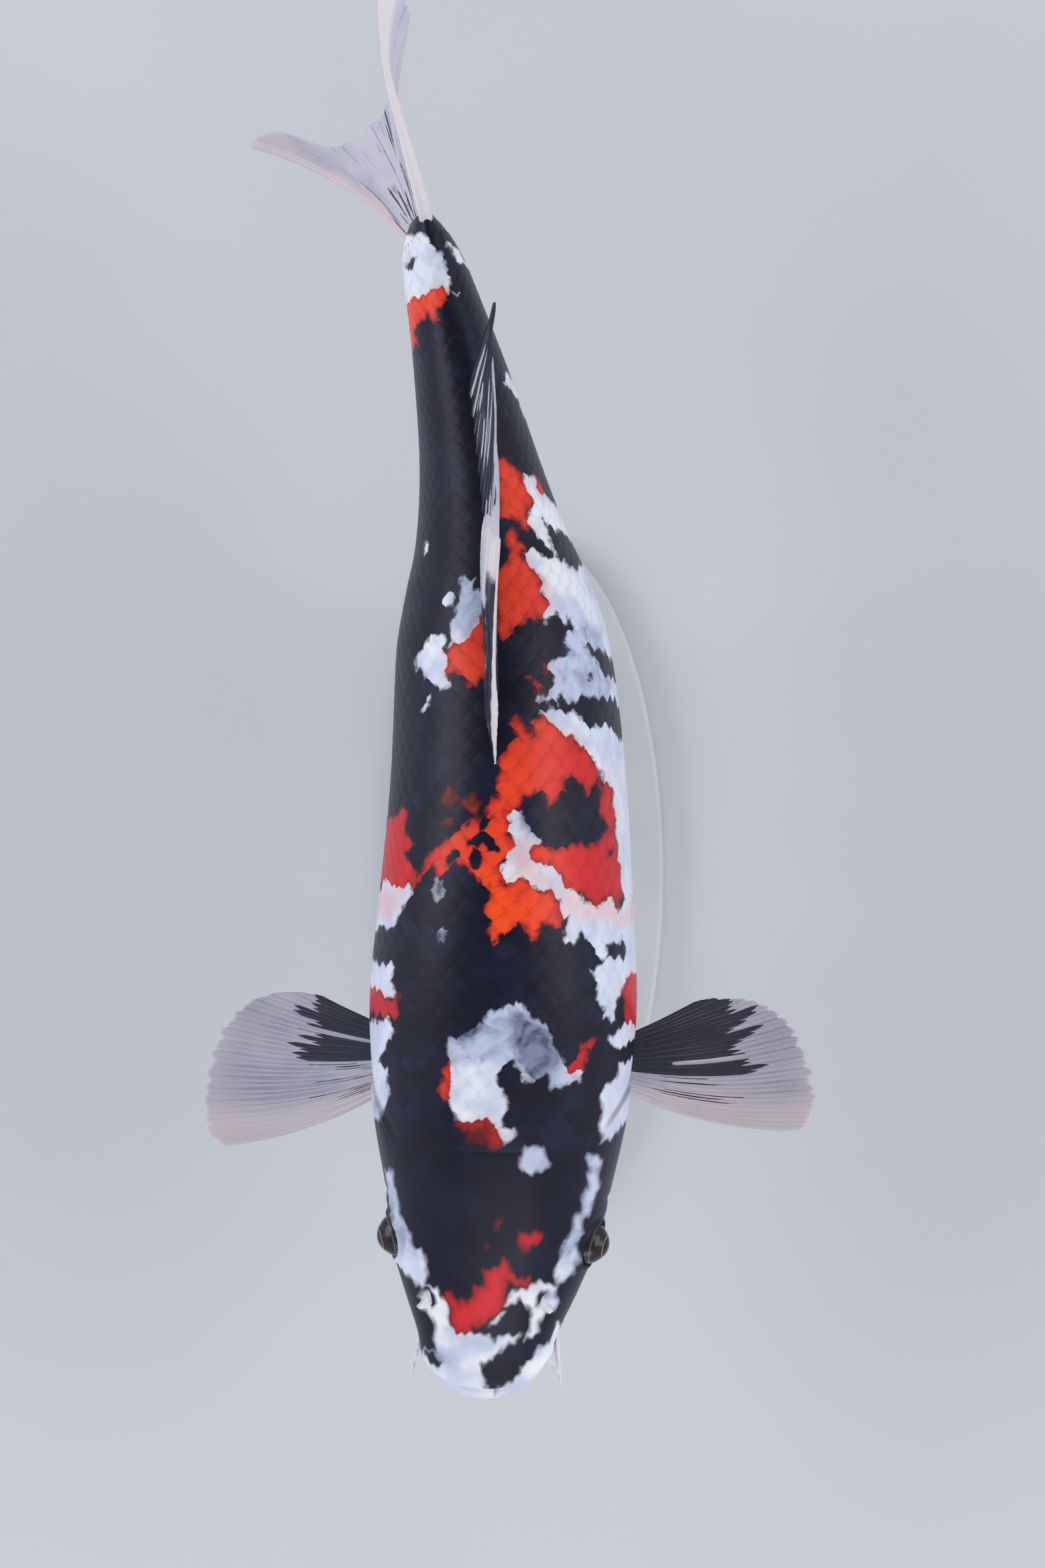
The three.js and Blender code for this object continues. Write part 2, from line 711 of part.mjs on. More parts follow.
['front', 'rear'].forEach((place, i) => {
  const foot = besideSpine(stand.rodShares[i], 0, stand.thickness + gap - axisHeight);
  const rod = tube((t) => foot.clone().setZ(lerp(foot.z, axisHeight, t)), () => stand.rodRadius, 1, 16);
  add(`stand_rod_${place}`, cutBy(rod, bodyCutter), 0xb8bbbf, 0.3, 0.9);
});

export default koi;
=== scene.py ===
"""A koi carp at life size on a plain display stand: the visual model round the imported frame.

The form is worked out in millimetres, as the frame's own solids were, and turned to metres
when a mesh is made. +Z is up, the head points toward -Y, and +X is the fish's left.
"""
import math

import bpy
import numpy as np
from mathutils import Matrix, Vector


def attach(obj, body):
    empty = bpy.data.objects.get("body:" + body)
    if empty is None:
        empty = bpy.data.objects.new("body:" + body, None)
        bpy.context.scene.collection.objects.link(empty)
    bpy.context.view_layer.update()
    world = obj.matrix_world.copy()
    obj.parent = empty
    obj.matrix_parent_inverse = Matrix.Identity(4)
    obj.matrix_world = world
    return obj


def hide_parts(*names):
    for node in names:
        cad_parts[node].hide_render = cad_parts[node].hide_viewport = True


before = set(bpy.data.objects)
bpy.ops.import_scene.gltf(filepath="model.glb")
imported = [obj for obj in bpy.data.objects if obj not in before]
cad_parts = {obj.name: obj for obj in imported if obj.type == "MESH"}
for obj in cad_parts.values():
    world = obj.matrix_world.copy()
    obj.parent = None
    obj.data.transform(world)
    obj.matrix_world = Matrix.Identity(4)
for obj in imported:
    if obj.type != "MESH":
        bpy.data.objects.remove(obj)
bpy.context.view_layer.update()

# ------------ driving dimensions

MM = 0.001
DEG = math.pi / 180
LENGTH = 420.0  # snout to the end of the fleshy part of the tail
# Places along the body are shares of the length, counted from the snout.
AXIS_HEIGHT = 134.0  # height of the body's axis above the floor
HEAD_HEADING = 5.2 * DEG
TRUNK_HEADING = 1.9 * DEG
TAIL_HEADING = -17.5 * DEG
NECK_TURN = (0.13, 0.19)
BEND_START = 0.46
TAIL_ROLL = 9 * DEG
ROLL_START = 0.5
ORIGIN_SHARE = 0.434
WIDEST_LEVEL = 0.48  # where the body is widest, between the belly and the back
FULLNESS_ABOVE = 2.05  # exponents of the section's curve; 2 is an ellipse
FULLNESS_BELOW = 2.2
HEAD_FLATNESS = 0.35  # added above, fading out behind the head

EYE_SHARE = 0.135
EYE_ANGLE = 76 * DEG
EYE_RADIUS = 6.8
EYE_PROUD = 4.6
EYEBALL_RADIUS = 8.0  # of the finished eye, which fills its socket
ORBIT_RISE = 2.6
ORBIT_REACH = 7.5

PLATE_TOP = 9.0  # of the display stand's plate

COVER_TOP = 48 * DEG
COVER_BOTTOM = 150 * DEG
COVER_RISE = 0.9

MOUTH_CORNER = 0.056
LIP_HALF_WIDTH = 22.6
LIP_REACH = 22.8
LIP_FRONT_UP = -14.5
LIP_CORNER_DROP = 7.0

SIDES = (("left", 1), ("right", -1))


# ------------ small helpers

def lerp(a, b, t):
    return a + (b - a) * t


def smooth(t):
    t = np.clip(t, 0, 1)
    return t * t * (3 - 2 * t)


def bump(distance, width):
    """A bell of height 1 at distance 0."""
    return np.exp(-((distance / width) ** 2))


def soft_min(a, b, k):
    h = np.maximum(k - np.abs(a - b), 0) / k
    return np.minimum(a, b) - h * h * k / 4


def soft_max(a, b, k):
    return -soft_min(-a, -b, k)


def curve_through(places, values):
    """A smooth curve through the points (places[i], values[i])."""
    x = np.asarray(places, float)
    y = np.asarray(values, float)
    order = np.arange(len(x))
    before = np.maximum(order - 1, 0)
    after = np.minimum(order + 1, len(x) - 1)
    slope = (y[after] - y[before]) / (x[after] - x[before])

    def at(place):
        q = np.clip(place, x[0], x[-1])
        i = np.clip(np.searchsorted(x, q) - 1, 0, len(x) - 2)
        span = x[i + 1] - x[i]
        t = (q - x[i]) / span
        return (
            y[i] * (2 * t**3 - 3 * t**2 + 1)
            + slope[i] * span * (t**3 - 2 * t**2 + t)
            + y[i + 1] * (3 * t**2 - 2 * t**3)
            + slope[i + 1] * span * (t**3 - t**2)
        )

    return at


def unit(vectors):
    return vectors / np.maximum(np.linalg.norm(vectors, axis=-1, keepdims=True), 1e-9)


# ------------ the body's form

# Sections: place, half width, heights of the back and belly above the axis, as shares.
SECTIONS = np.array([
    (0.004, 0.0, -0.026, -0.026),
    (0.012, 0.034, -0.01, -0.045),
    (0.028, 0.051, 0.003, -0.059),
    (0.055, 0.06, 0.021, -0.074),
    (0.1, 0.077, 0.045, -0.088),
    (0.15, 0.089, 0.069, -0.1),
    (0.22, 0.1025, 0.098, -0.116),
    (0.3, 0.111, 0.123, -0.129),
    (0.345, 0.1117, 0.134, -0.134),
    (0.42, 0.106, 0.145, -0.137),
    (0.52, 0.0983, 0.148, -0.132),
    (0.63, 0.089, 0.131, -0.117),
    (0.68, 0.077, 0.119, -0.106),
    (0.72, 0.064, 0.107, -0.096),
    (0.78, 0.051, 0.091, -0.08),
    (0.86, 0.0395, 0.073, -0.063),
    (0.91, 0.0324, 0.066, -0.058),
    (0.955, 0.026, 0.063, -0.057),
    (0.98, 0.0185, 0.063, -0.058),
    (0.992, 0.011, 0.062, -0.058),
])
NOSE_SHARE = SECTIONS[0, 0]
END_SHARE = SECTIONS[-1, 0]


def nose_distance(share):
    return np.sqrt(np.maximum(0, share - NOSE_SHARE))


section_places = nose_distance(SECTIONS[:, 0])
wide_curve = curve_through(section_places, SECTIONS[:, 1])
back_curve = curve_through(section_places, SECTIONS[:, 2])
belly_curve = curve_through(section_places, SECTIONS[:, 3])


def section_heading(share):
    bend = np.clip((share - BEND_START) / (1 - BEND_START), 0, 1) ** 0.93
    return lerp(TRUNK_HEADING, TAIL_HEADING, bend)


def axis_heading(share):
    neck = smooth((share - NECK_TURN[0]) / (NECK_TURN[1] - NECK_TURN[0]))
    return section_heading(share) + (HEAD_HEADING - TRUNK_HEADING) * (1 - neck)


def lay_out_spine():
    shares = np.linspace(-0.05, 1.1, 4601)
    steps = np.diff(shares) * LENGTH
    headings = axis_heading((shares[1:] + shares[:-1]) / 2)
    x = np.concatenate([[0], np.cumsum(np.sin(headings) * steps)])
    y = np.concatenate([[0], np.cumsum(np.cos(headings) * steps)])
    x -= np.interp(ORIGIN_SHARE, shares, x)
    y -= np.interp(ORIGIN_SHARE, shares, y)
    return shares, x, y


spine_shares, spine_x, spine_y = lay_out_spine()


def beside_spine(share, across, up):
    """A point beside the body's axis: across toward the fish's left, up along +Z."""
    share, across, up = np.broadcast_arrays(share, across, up)
    heading = section_heading(share)
    x = np.interp(share, spine_shares, spine_x) + across * np.cos(heading)
    y = np.interp(share, spine_shares, spine_y) - across * np.sin(heading)
    return np.stack([x, y, AXIS_HEIGHT + up], -1)


def fullness(share, angle):
    above = FULLNESS_ABOVE + HEAD_FLATNESS * (1 - smooth(share / 0.35))
    return np.where(np.cos(angle) > 0, above, FULLNESS_BELOW)


def plain_point(share, angle, lift=0.0):
    """A point of the body's surface; the angle runs from the ridge over the fish's left."""
    place = nose_distance(share)
    wide = wide_curve(place) * LENGTH
    back = back_curve(place) * LENGTH
    belly = belly_curve(place) * LENGTH
    level = lerp(belly, back, WIDEST_LEVEL)
    up = np.cos(angle)
    power = 2 / fullness(share, angle)
    height = np.where(up > 0, back - level, level - belly)
    across = (wide + lift) * np.sign(np.sin(angle)) * np.abs(np.sin(angle)) ** power
    upward = level + (height + lift) * np.sign(up) * np.abs(up) ** power
    roll = TAIL_ROLL * np.maximum(0, (share - ROLL_START) / (1 - ROLL_START)) ** 2
    return beside_spine(
        share,
        across * np.cos(roll) + upward * np.sin(roll),
        upward * np.cos(roll) - across * np.sin(roll),
    )


def plain_normal(share, angle):
    ds, da = 0.0008, 0.006
    ahead = np.maximum(share - ds, NOSE_SHARE)
    along = plain_point(share + ds, angle) - plain_point(ahead, angle)
    around = plain_point(share, angle + da) - plain_point(share, angle - da)
    return unit(np.cross(around, along))


ORBITS = [plain_point(EYE_SHARE, side * EYE_ANGLE) for _, side in SIDES]


def orbit_swelling(points):
    gaps = [np.sum((points - centre) ** 2, -1) for centre in ORBITS]
    return sum(ORBIT_RISE * np.exp(-gap / (2 * ORBIT_REACH**2)) for gap in gaps)


def body_point(share, angle, lift=0.0):
    swelling = orbit_swelling(plain_point(share, angle))
    return plain_point(share, angle, lift + swelling)


def eye_centre(side):
    surface = ORBITS[0 if side > 0 else 1]
    axis = beside_spine(EYE_SHARE, 0, surface[2] - AXIS_HEIGHT)
    return surface + unit(surface - axis) * (EYE_PROUD - EYE_RADIUS)


def body_across(share, angle):
    """Distance across from the ridge in plan, which counts on down the flank to the belly."""
    wide = wide_curve(nose_distance(share)) * LENGTH
    across = wide * np.abs(np.sin(angle)) ** (2 / fullness(share, angle))
    across = np.where(np.cos(angle) > 0, across, 2 * wide - across)
    turned = np.abs(np.arctan2(np.sin(angle), np.cos(angle))) / DEG
    down = 1.25 * wide * np.clip((turned - 60) / 120, 0, 1) ** 1.5  # from 60 degrees to the belly
    return np.sign(np.sin(angle)) * (across + down)


# ------------ markings

# Outlines on the body in millimetres: (along from the snout, across from the ridge, the
# fish's left positive). Across runs on past the flank's edge, down toward the belly.
# The body is black, with white and red patches; where they meet, the nearer middle wins.
WHITE_PATCHES = {
    "snout": [(39, -21), (40, -17), (35, -14), (29, -12), (24, -10), (23, -3), (24, 1), (21, 4),
        (23, 8), (24, 13), (21, 12), (16, 4), (11, 0), (4, 1), (1, 4), (-9, 4), (-9, -40), (8, -34),
        (13, -25), (15, -22), (16, -17), (22, -17), (30, -19), (31, -22), (35, -24)],
    "lip_left": [(1, 6), (5, 10), (9, 13), (12, 15), (17, 19), (20, 24), (27, 25), (24, 31),
        (10, 34), (-9, 40), (-9, 6)],
    "nostril_left": [(34, 6), (39, 10), (41, 13), (43, 19), (42, 24), (36, 25), (33, 23), (34, 21),
        (29, 20), (25, 19), (22, 17), (22, 15), (30, 17), (34, 15), (37, 12), (34, 9)],
    "nose_chip": [(27, 3), (30, 4), (32, 7), (28, 6)],
    "stripe_right": [(79, -41), (81, -36), (70, -34), (62, -30), (54, -26), (49, -21), (42, -22),
        (38, -21), (40, -25), (45, -30), (47, -34), (53, -35), (62, -35), (68, -38)],
    "stripe_left": [(88, 32), (84, 34), (78, 33), (70, 31), (60, 27), (50, 24), (43, 24), (42, 25),
        (44, 27), (47, 30), (54, 30), (66, 32), (73, 36), (79, 37), (86, 37), (90, 34)],
    "nape": [(141, 4), (141, 10), (138, 14), (133, 19), (129, 21), (124, 24), (118, 27), (118, 31),
        (115, 30), (112, 19), (116, 20), (115, 11), (119, 9), (123, 7), (121, 4), (115, 2),
        (110, 5), (108, 7), (103, 4), (99, 5), (98, 8), (95, 9), (92, 5), (94, 4), (99, 2),
        (101, 0), (101, -5), (99, -10), (104, -14), (120, -14), (127, -15), (130, -11), (132, -5),
        (137, 0)],
    "nape_spot": [(86, 10), (89, 10), (93, 13), (91, 19), (87, 20), (83, 19), (83, 13)],
    "smudge_1": [(183, -20), (182, -17), (178, -18), (176, -20), (179, -22)],
    "smudge_2": [(167, -18), (166, -16), (162, -17), (162, -19)],
    "flank_right_1": [(131, -47), (133, -38), (129, -33), (125, -38), (118, -41), (117, -38),
        (108, -37), (101, -39), (97, -41), (98, -56), (103, -70), (112, -80), (124, -76),
        (131, -62)],
    "flank_right_2": [(152, -36), (143, -35), (141, -39), (143, -44), (145, -60), (142, -80),
        (152, -78), (154, -60), (152, -48)],
    "flank_left_1": [(153, 33), (157, 40), (158, 70), (150, 84), (146, 76), (152, 60), (150, 46),
        (142, 41), (135, 41), (136, 39), (143, 36)],
    "flank_left_bit": [(133, 42), (135, 50), (131, 58), (127, 50), (126, 41), (129, 39)],
    "gill_left": [(121, 44), (115, 42), (113, 38), (108, 37), (93, 37), (94, 41), (99, 45),
        (100, 60), (104, 72), (112, 80), (118, 72), (122, 58)],
    "wedge": [(207, 4), (207, 8), (203, 10), (201, 13), (199, 15), (197, 16), (196, 12), (193, 11),
        (190, 15), (187, 20), (183, 23), (181, 26), (174, 25), (179, 20), (183, 14), (183, 5),
        (187, 2), (191, 5), (198, 6)],
    "block_front": [(179, 22), (181, 24), (178, 29), (175, 34), (178, 37), (174, 42), (180, 46),
        (182, 90), (156, 92), (152, 70), (156, 50), (156, 45), (165, 44), (161, 42), (163, 38),
        (157, 37), (157, 35), (161, 34), (165, 30), (162, 27), (164, 24), (170, 25), (175, 22)],
    "flank_left_2": [(239, 15), (240, 25), (238, 27), (234, 32), (235, 36), (230, 44), (233, 52),
        (238, 62), (236, 90), (176, 90), (178, 44), (185, 42), (200, 40), (210, 39), (214, 38),
        (216, 36), (222, 33), (229, 28), (235, 20), (236, 18)],
    "side_left": [(267, 25), (267, 28), (260, 31), (256, 34), (250, 38), (250, 48), (255, 54),
        (253, 66), (256, 90), (246, 90), (246, 66), (242, 58), (241, 50), (243, 40), (245, 35),
        (243, 33), (245, 29), (242, 27), (245, 22), (242, 21), (243, 18), (245, 14), (246, 18),
        (250, 20), (256, 18), (258, 21), (259, 25)],
    "flank_left_3": [(295, 12), (295, 15), (291, 19), (292, 24), (290, 26), (286, 29), (292, 40),
        (288, 56), (280, 80), (258, 84), (254, 62), (257, 48), (258, 38), (262, 32), (261, 29),
        (267, 27), (272, 26), (269, 24), (274, 22), (267, 18), (278, 19), (287, 16), (290, 14)],
    "flank_left_4": [(320, 15), (320, 18), (314, 21), (312, 24), (309, 30), (312, 42), (304, 52),
        (299, 44), (298, 34), (301, 23), (305, 20), (298, 22), (293, 23), (297, 19), (303, 14),
        (311, 17)],
    "edge_left": [(355, 14), (351, 17), (343, 20), (343, 24), (352, 20), (357, 16)],
    "edge_right": [(177, -45), (188, -38), (179, -36), (180, -29), (176, -31), (172, -33),
        (166, -36), (163, -50), (166, -70), (176, -74), (182, -62), (178, -52)],
    "side_right_1": [(269, -20), (268, -17), (262, -16), (258, -17), (251, -15), (250, -18),
        (253, -24), (257, -26), (256, -28), (262, -27), (268, -23)],
    "side_right_2": [(276, -2), (264, -8), (264, -15), (274, -13), (280, -10), (284, -11),
        (288, -9), (287, -5), (283, -6), (282, -1)],
    "side_right_3": [(280, -17), (283, -14), (282, -12), (278, -13), (278, -17)],
    "speck_1": [(303, -22), (303, -20), (299, -20), (299, -22)],
    "speck_2": [(247, -24), (247, -22), (243, -23), (242, -25)],
    "tail_root": [(420, -8), (411, -6), (410, -3), (408, -1), (403, 1), (395, 3), (388, 2),
        (386, 7), (385, 5), (389, 0), (389, -16), (394, -18), (399, -16), (408, -14), (420, -16)],
    "tail_streak": [(404, 5), (403, 8), (397, 13), (396, 9), (400, 6)],
    "belly_left": [(-9, 200), (-9, 26), (8, 30), (22, 40), (34, 54), (50, 90), (62, 84), (74, 92),
        (88, 80), (98, 86), (106, 78), (118, 76), (126, 84), (134, 72), (146, 78), (154, 70),
        (232, 70), (242, 62), (252, 76), (262, 66), (284, 60), (292, 66), (300, 50), (312, 56),
        (324, 44), (338, 50), (346, 70), (350, 200)],
    "belly_right": [(-9, -200), (-9, -26), (8, -30), (22, -42), (36, -56), (50, -92), (66, -88),
        (84, -92), (96, -78), (112, -72), (130, -76), (144, -68), (150, -72), (158, -86),
        (164, -72), (172, -62), (184, -70), (196, -64), (206, -72), (214, -88), (232, -78),
        (246, -92), (262, -76), (280, -84), (296, -66), (312, -72), (326, -54), (340, -60),
        (348, -90), (350, -200)],
}
RED_PATCHES = {
    "forehead": [(35, -14), (38, -14), (39, -12), (35, -10), (37, -6), (38, -4), (41, -4), (41, -1),
        (44, -1), (48, -1), (49, 4), (52, 5), (49, 8), (45, 11), (45, 15), (42, 15), (42, 10),
        (43, 7), (36, 8), (32, 5), (28, 1), (25, -4), (23, -3), (23, -6), (24, -10), (29, -12)],
    "nape_glow": [(98, -8), (99, 2), (93, 5), (91, 4), (92, -3), (94, -9)],
    "brow_1": [(62, 10), (61, 12), (62, 15), (61, 18), (58, 18), (54, 12), (56, 11)],
    "brow_2": [(62, 2), (66, 3), (66, 5), (62, 4)],
    "brow_3": [(56, -1), (57, 1), (54, 1), (54, -1)],
    "nape_right": [(121, -14), (115, -13), (107, -14), (107, -17), (112, -18), (118, -17)],
    "nape_front": [(99, -12), (101, -6), (101, 0), (99, 2), (93, 5), (94, 1), (98, -2), (96, -11)],
    "shoulder": [(121, 27), (123, 29), (128, 30), (130, 34), (129, 36), (125, 32), (118, 32),
        (118, 27)],
    "flank_right": [(143, -43), (141, -39), (142, -33), (138, -33), (132, -34), (135, -39),
        (134, -50), (132, -60), (137, -70), (143, -62), (145, -52)],
    "flank_left": [(147, 43), (152, 50), (153, 58), (146, 62), (143, 70), (138, 64), (133, 62),
        (132, 54), (134, 46), (143, 44)],
    "arc": [(222, 1), (228, 4), (232, 6), (238, 7), (236, 10), (232, 12), (238, 13), (235, 20),
        (231, 26), (226, 30), (216, 36), (215, 31), (212, 30), (218, 26), (218, 23), (214, 24),
        (213, 21), (207, 20), (207, 18), (213, 15), (213, 10), (208, 9), (207, 4), (199, 5),
        (193, 6), (188, 1), (184, 4), (181, 1), (180, -3), (196, -8), (207, -2), (214, 1)],
    "arm": [(210, 0), (206, -5), (200, -12), (195, -20), (189, -24), (182, -30), (180, -29),
        (184, -24), (187, -22), (185, -20), (182, -20), (187, -16), (188, -12), (185, -8),
        (184, -5), (180, -2), (181, 2), (196, 4)],
    "disc": [(182, 3), (184, 9), (182, 14), (178, 20), (172, 24), (168, 22), (168, 16), (164, 16),
        (164, 14), (169, 10), (167, 6), (165, 2), (161, 2), (161, 0), (168, -2), (180, -2),
        (186, 0)],
    "block": [(197, 12), (195, 16), (195, 23), (197, 35), (200, 37), (208, 34), (215, 34),
        (216, 37), (210, 39), (199, 40), (190, 41), (181, 44), (174, 41), (178, 37), (175, 34),
        (178, 30), (181, 26), (183, 23), (187, 20), (190, 15), (193, 12)],
    "edge_right": [(206, -36), (207, -32), (198, -32), (195, -28), (192, -32), (188, -30),
        (184, -27), (182, -30), (178, -32), (179, -37), (180, -50), (186, -60), (192, -56),
        (196, -48), (202, -44)],
    "edge_left": [(225, 38), (226, 46), (220, 54), (214, 48), (215, 40)],
    "faint_1": [(213, -20), (215, -17), (212, -13), (209, -13), (209, -18)],
    "faint_2": [(210, -12), (213, -8), (210, -5), (206, -6), (206, -11)],
    "faint_3": [(204, -20), (206, -16), (203, -14), (201, -18)],
    "side_left_1": [(254, 8), (251, 14), (248, 16), (247, 15), (252, 9)],
    "side_left_2": [(257, 16), (251, 20), (251, 17)],
    "rear_left_1": [(328, 7), (326, 11), (320, 15), (313, 17), (305, 15), (300, 17), (302, 13),
        (305, 11), (306, 5)],
    "rear_left_2": [(303, 9), (301, 11), (296, 13), (294, 11), (290, 14), (283, 17), (275, 19),
        (270, 18), (272, 14), (268, 10), (269, 7), (266, 5), (266, 2), (288, 2), (291, 8),
        (296, 7)],
    "rear_left_3": [(322, 18), (318, 21), (314, 23), (314, 20), (318, 19)],
    "side_right": [(273, -2), (272, -6), (267, -10), (262, -16), (258, -17), (253, -15), (255, -12),
        (252, -9), (249, -11), (251, -5), (250, -1)],
    "tail_ring": [(390, -18), (390, -1), (388, 1), (384, 2), (385, 0), (381, -4), (376, -3),
        (379, -6), (382, -8), (379, -12), (373, -13), (374, -18)],
    "tail_spot": [(409, -11), (406, -5), (400, -4), (398, -9), (403, -13)],
}
# Black spots inside the patches, pink that bleeds out of the red, and greyed white.
BLACK_SPOTS = {
    "lip_right": [(14, -22), (16, -18), (13, -15), (11, -13), (9, -15), (12, -19)],
    "arc": [(232, 7), (231, 9), (228, 11), (229, 9)],
    "arm_1": [(203, -6), (205, -5), (205, -3), (203, -1), (201, -2), (201, -5)],
    "arm_2": [(197, -10), (199, -6), (199, -3), (196, 1), (194, 1), (193, -1), (195, -4),
        (195, -10)],
    "arm_3": [(190, -8), (192, -8), (193, -6), (191, -5), (188, -5), (187, -7)],
    "arm_4": [(192, -15), (193, -13), (190, -12), (188, -15), (188, -18)],
    "block": [(194, 36), (195, 38), (192, 39), (191, 37)],
    "side_left": [(252, 30), (251, 33), (249, 31)],
    "nostril_left": [(40, 21), (38, 23), (36, 21), (34, 21), (33, 19), (34, 18), (38, 19)],
    "tail": [(404, -9), (402, -7), (400, -9), (402, -11)],
}
BLACK_SPOTS["nostril_right"] = [(along, -across) for along, across in BLACK_SPOTS["nostril_left"]]
PINK_PATCHES = {
    "block_front": [(179, 22), (181, 24), (178, 29), (175, 34), (177, 38), (173, 42), (177, 52),
        (169, 52), (168, 42), (171, 34), (171, 28), (172, 25)],
    "wedge": [(199, 6), (197, 11), (189, 13), (185, 17), (181, 20), (184, 12), (185, 5), (191, 6)],
    "edge_right": [(177, -45), (180, -34), (174, -33), (168, -38), (168, -60), (176, -60)],
    "rear_left": [(290, 14), (283, 20), (276, 21), (274, 18), (283, 17)],
}
GREY_PATCHES = {
    "nape_left": [(119, -16), (134, -16), (142, 0), (142, 12), (133, 22), (122, 28), (113, 31),
        (111, 18), (117, 8), (121, 2)],
    "side_left": [(268, 14), (268, 38), (240, 42), (240, 13)],
    "side_right": [(290, -2), (288, -12), (272, -15), (264, -9), (276, 0)],
    "stripe_left": [(92, 30), (92, 40), (60, 38), (48, 30), (54, 22), (70, 28)],
    "stripe_right": [(84, -34), (84, -44), (66, -40), (50, -34), (50, -20), (66, -30)],
    "nape_spot": [(95, 8), (94, 20), (86, 22), (81, 18), (82, 10), (86, 8)],
    "snout_right": [(24, -20), (18, -14), (10, -12), (6, -16), (12, -24)],
    "wedge": [(208, 7), (203, 12), (197, 17), (197, 13), (202, 9)],
    "flank_right": [(104, -34), (104, -50), (96, -50), (96, -36)],
}
# Black that lies thinly over the colours under it.
DIM_PATCHES = {
    "nape_right": [(137, 9), (136, 15), (131, 20), (124, 24), (118, 23), (114, 19), (117, 13),
        (122, 9), (128, 7), (133, 6)],
    "nape_top": [(134, -12), (137, -4), (131, -3), (127, -9), (128, -14)],
    "nape_glow": [(98, -13), (99, -5), (99, 0), (93, 2), (86, 4), (80, 2), (82, -6), (90, -14)],
    "brow": [(66, -2), (66, 7), (58, 5), (52, 3), (53, -3)],
    "brow_left": [(52, 12), (56, 11), (56, 19), (50, 19)],
    "arm": [(221, -26), (221, -6), (211, -3), (206, -8), (200, -15), (198, -24)],
    "arc_front": [(205, 10), (206, 17), (201, 19), (198, 14), (200, 10)],
    "side_left": [(259, 7), (258, 17), (252, 18), (250, 12), (252, 7)],
    "smudge_1": [(184, -20), (183, -17), (178, -17), (175, -20), (179, -22)],
    "smudge_2": [(168, -19), (166, -16), (161, -16), (162, -20)],
}
FIELD_REACH = 12.0  # a signed distance is only worked out this far from an outline
NAPE = 85.0  # where the head ends along the back, in mm from the snout


def outline_distance(points, outline):
    """Signed distance to a closed outline, positive inside."""
    corner = np.asarray(outline, float)
    nearest = np.full(len(points), 1e9)
    inside = np.zeros(len(points), bool)
    for a, b in zip(corner, np.roll(corner, -1, 0)):
        edge = b - a
        t = np.clip(((points - a) @ edge) / (edge @ edge), 0, 1)
        nearest = np.minimum(nearest, np.sum((points - a - t[:, None] * edge) ** 2, -1))
        crosses = (a[1] > points[:, 1]) != (b[1] > points[:, 1])
        inside ^= crosses & (points[:, 0] < edge[0] * (points[:, 1] - a[1]) / (edge[1] or 1) + a[0])
    return np.where(inside, 1, -1) * np.sqrt(nearest)


def marking_field(along, across, outlines):
    """Signed distance to the union of the outlines, in mm, held within FIELD_REACH."""
    field = np.full(len(along), -FIELD_REACH)
    points = np.stack([along, across], -1)
    for outline in outlines.values():
        low = np.min(outline, 0) - FIELD_REACH
        high = np.max(outline, 0) + FIELD_REACH
        near = np.all((points > low) & (points < high), -1)
        field[near] = np.maximum(field[near], outline_distance(points[near], outline))
    return np.minimum(field, FIELD_REACH)


def paint_markings(share, angle):
    """The marking fields at points of the body, and the masks of painted shade on the flanks and in
    the gill slit, as a dict of arrays, in mm.
    """
    along = np.ravel(share) * LENGTH
    across = np.ravel(body_across(share, angle))
    # Small waves in the outlines, finer across the body, as pigment ends unevenly.
    along = along + 0.7 * np.sin(0.6 * across + 1.3 * np.sin(0.3 * along))
    along = along + 0.55 * np.sin(1.9 * across + 0.8 * np.sin(0.9 * along))
    across = across + 0.6 * np.sin(0.7 * along + 1.1 * np.sin(0.4 * across))
    white, red, spots, pink, grey, dim = (marking_field(along, across, outlines) for outlines in (
        WHITE_PATCHES, RED_PATCHES, BLACK_SPOTS, PINK_PATCHES, GREY_PATCHES, DIM_PATCHES))
    on_top = smooth(1.2 - np.abs(across) / 30)
    behind_head = smooth((along - NAPE) / 25)
    at_disc = bump(along - 172, 18)  # the red is most orange there
    _, cover_rear, place = cover_edges(np.ravel(angle))
    past_cover = (np.ravel(share) - cover_rear) * LENGTH
    return {
        # Painted shade in the gill slit, along the gill cover's rear edge.
        "slit": bump(past_cover + 0.3, 0.8) * smooth(3 * np.sin(math.pi * place) - 0.8),
        "crisp": lerp(0.55, 1, smooth((along - NAPE) / 45)),
        "open_skin": np.minimum(np.maximum(white, red), -spots),
        "red": red - white,
        "red_depth": red,
        "pink": pink,
        "grey": grey,
        "dim": dim,
        "warm": on_top * behind_head * lerp(0.6, 1, at_disc),
        # Painted shade: darker and bluer toward the flanks, from 20 mm across the ridge outward.
        "flank_shade": smooth((np.abs(across) - 20) / 22),
    }


# ------------ mesh making

collection = bpy.context.scene.collection


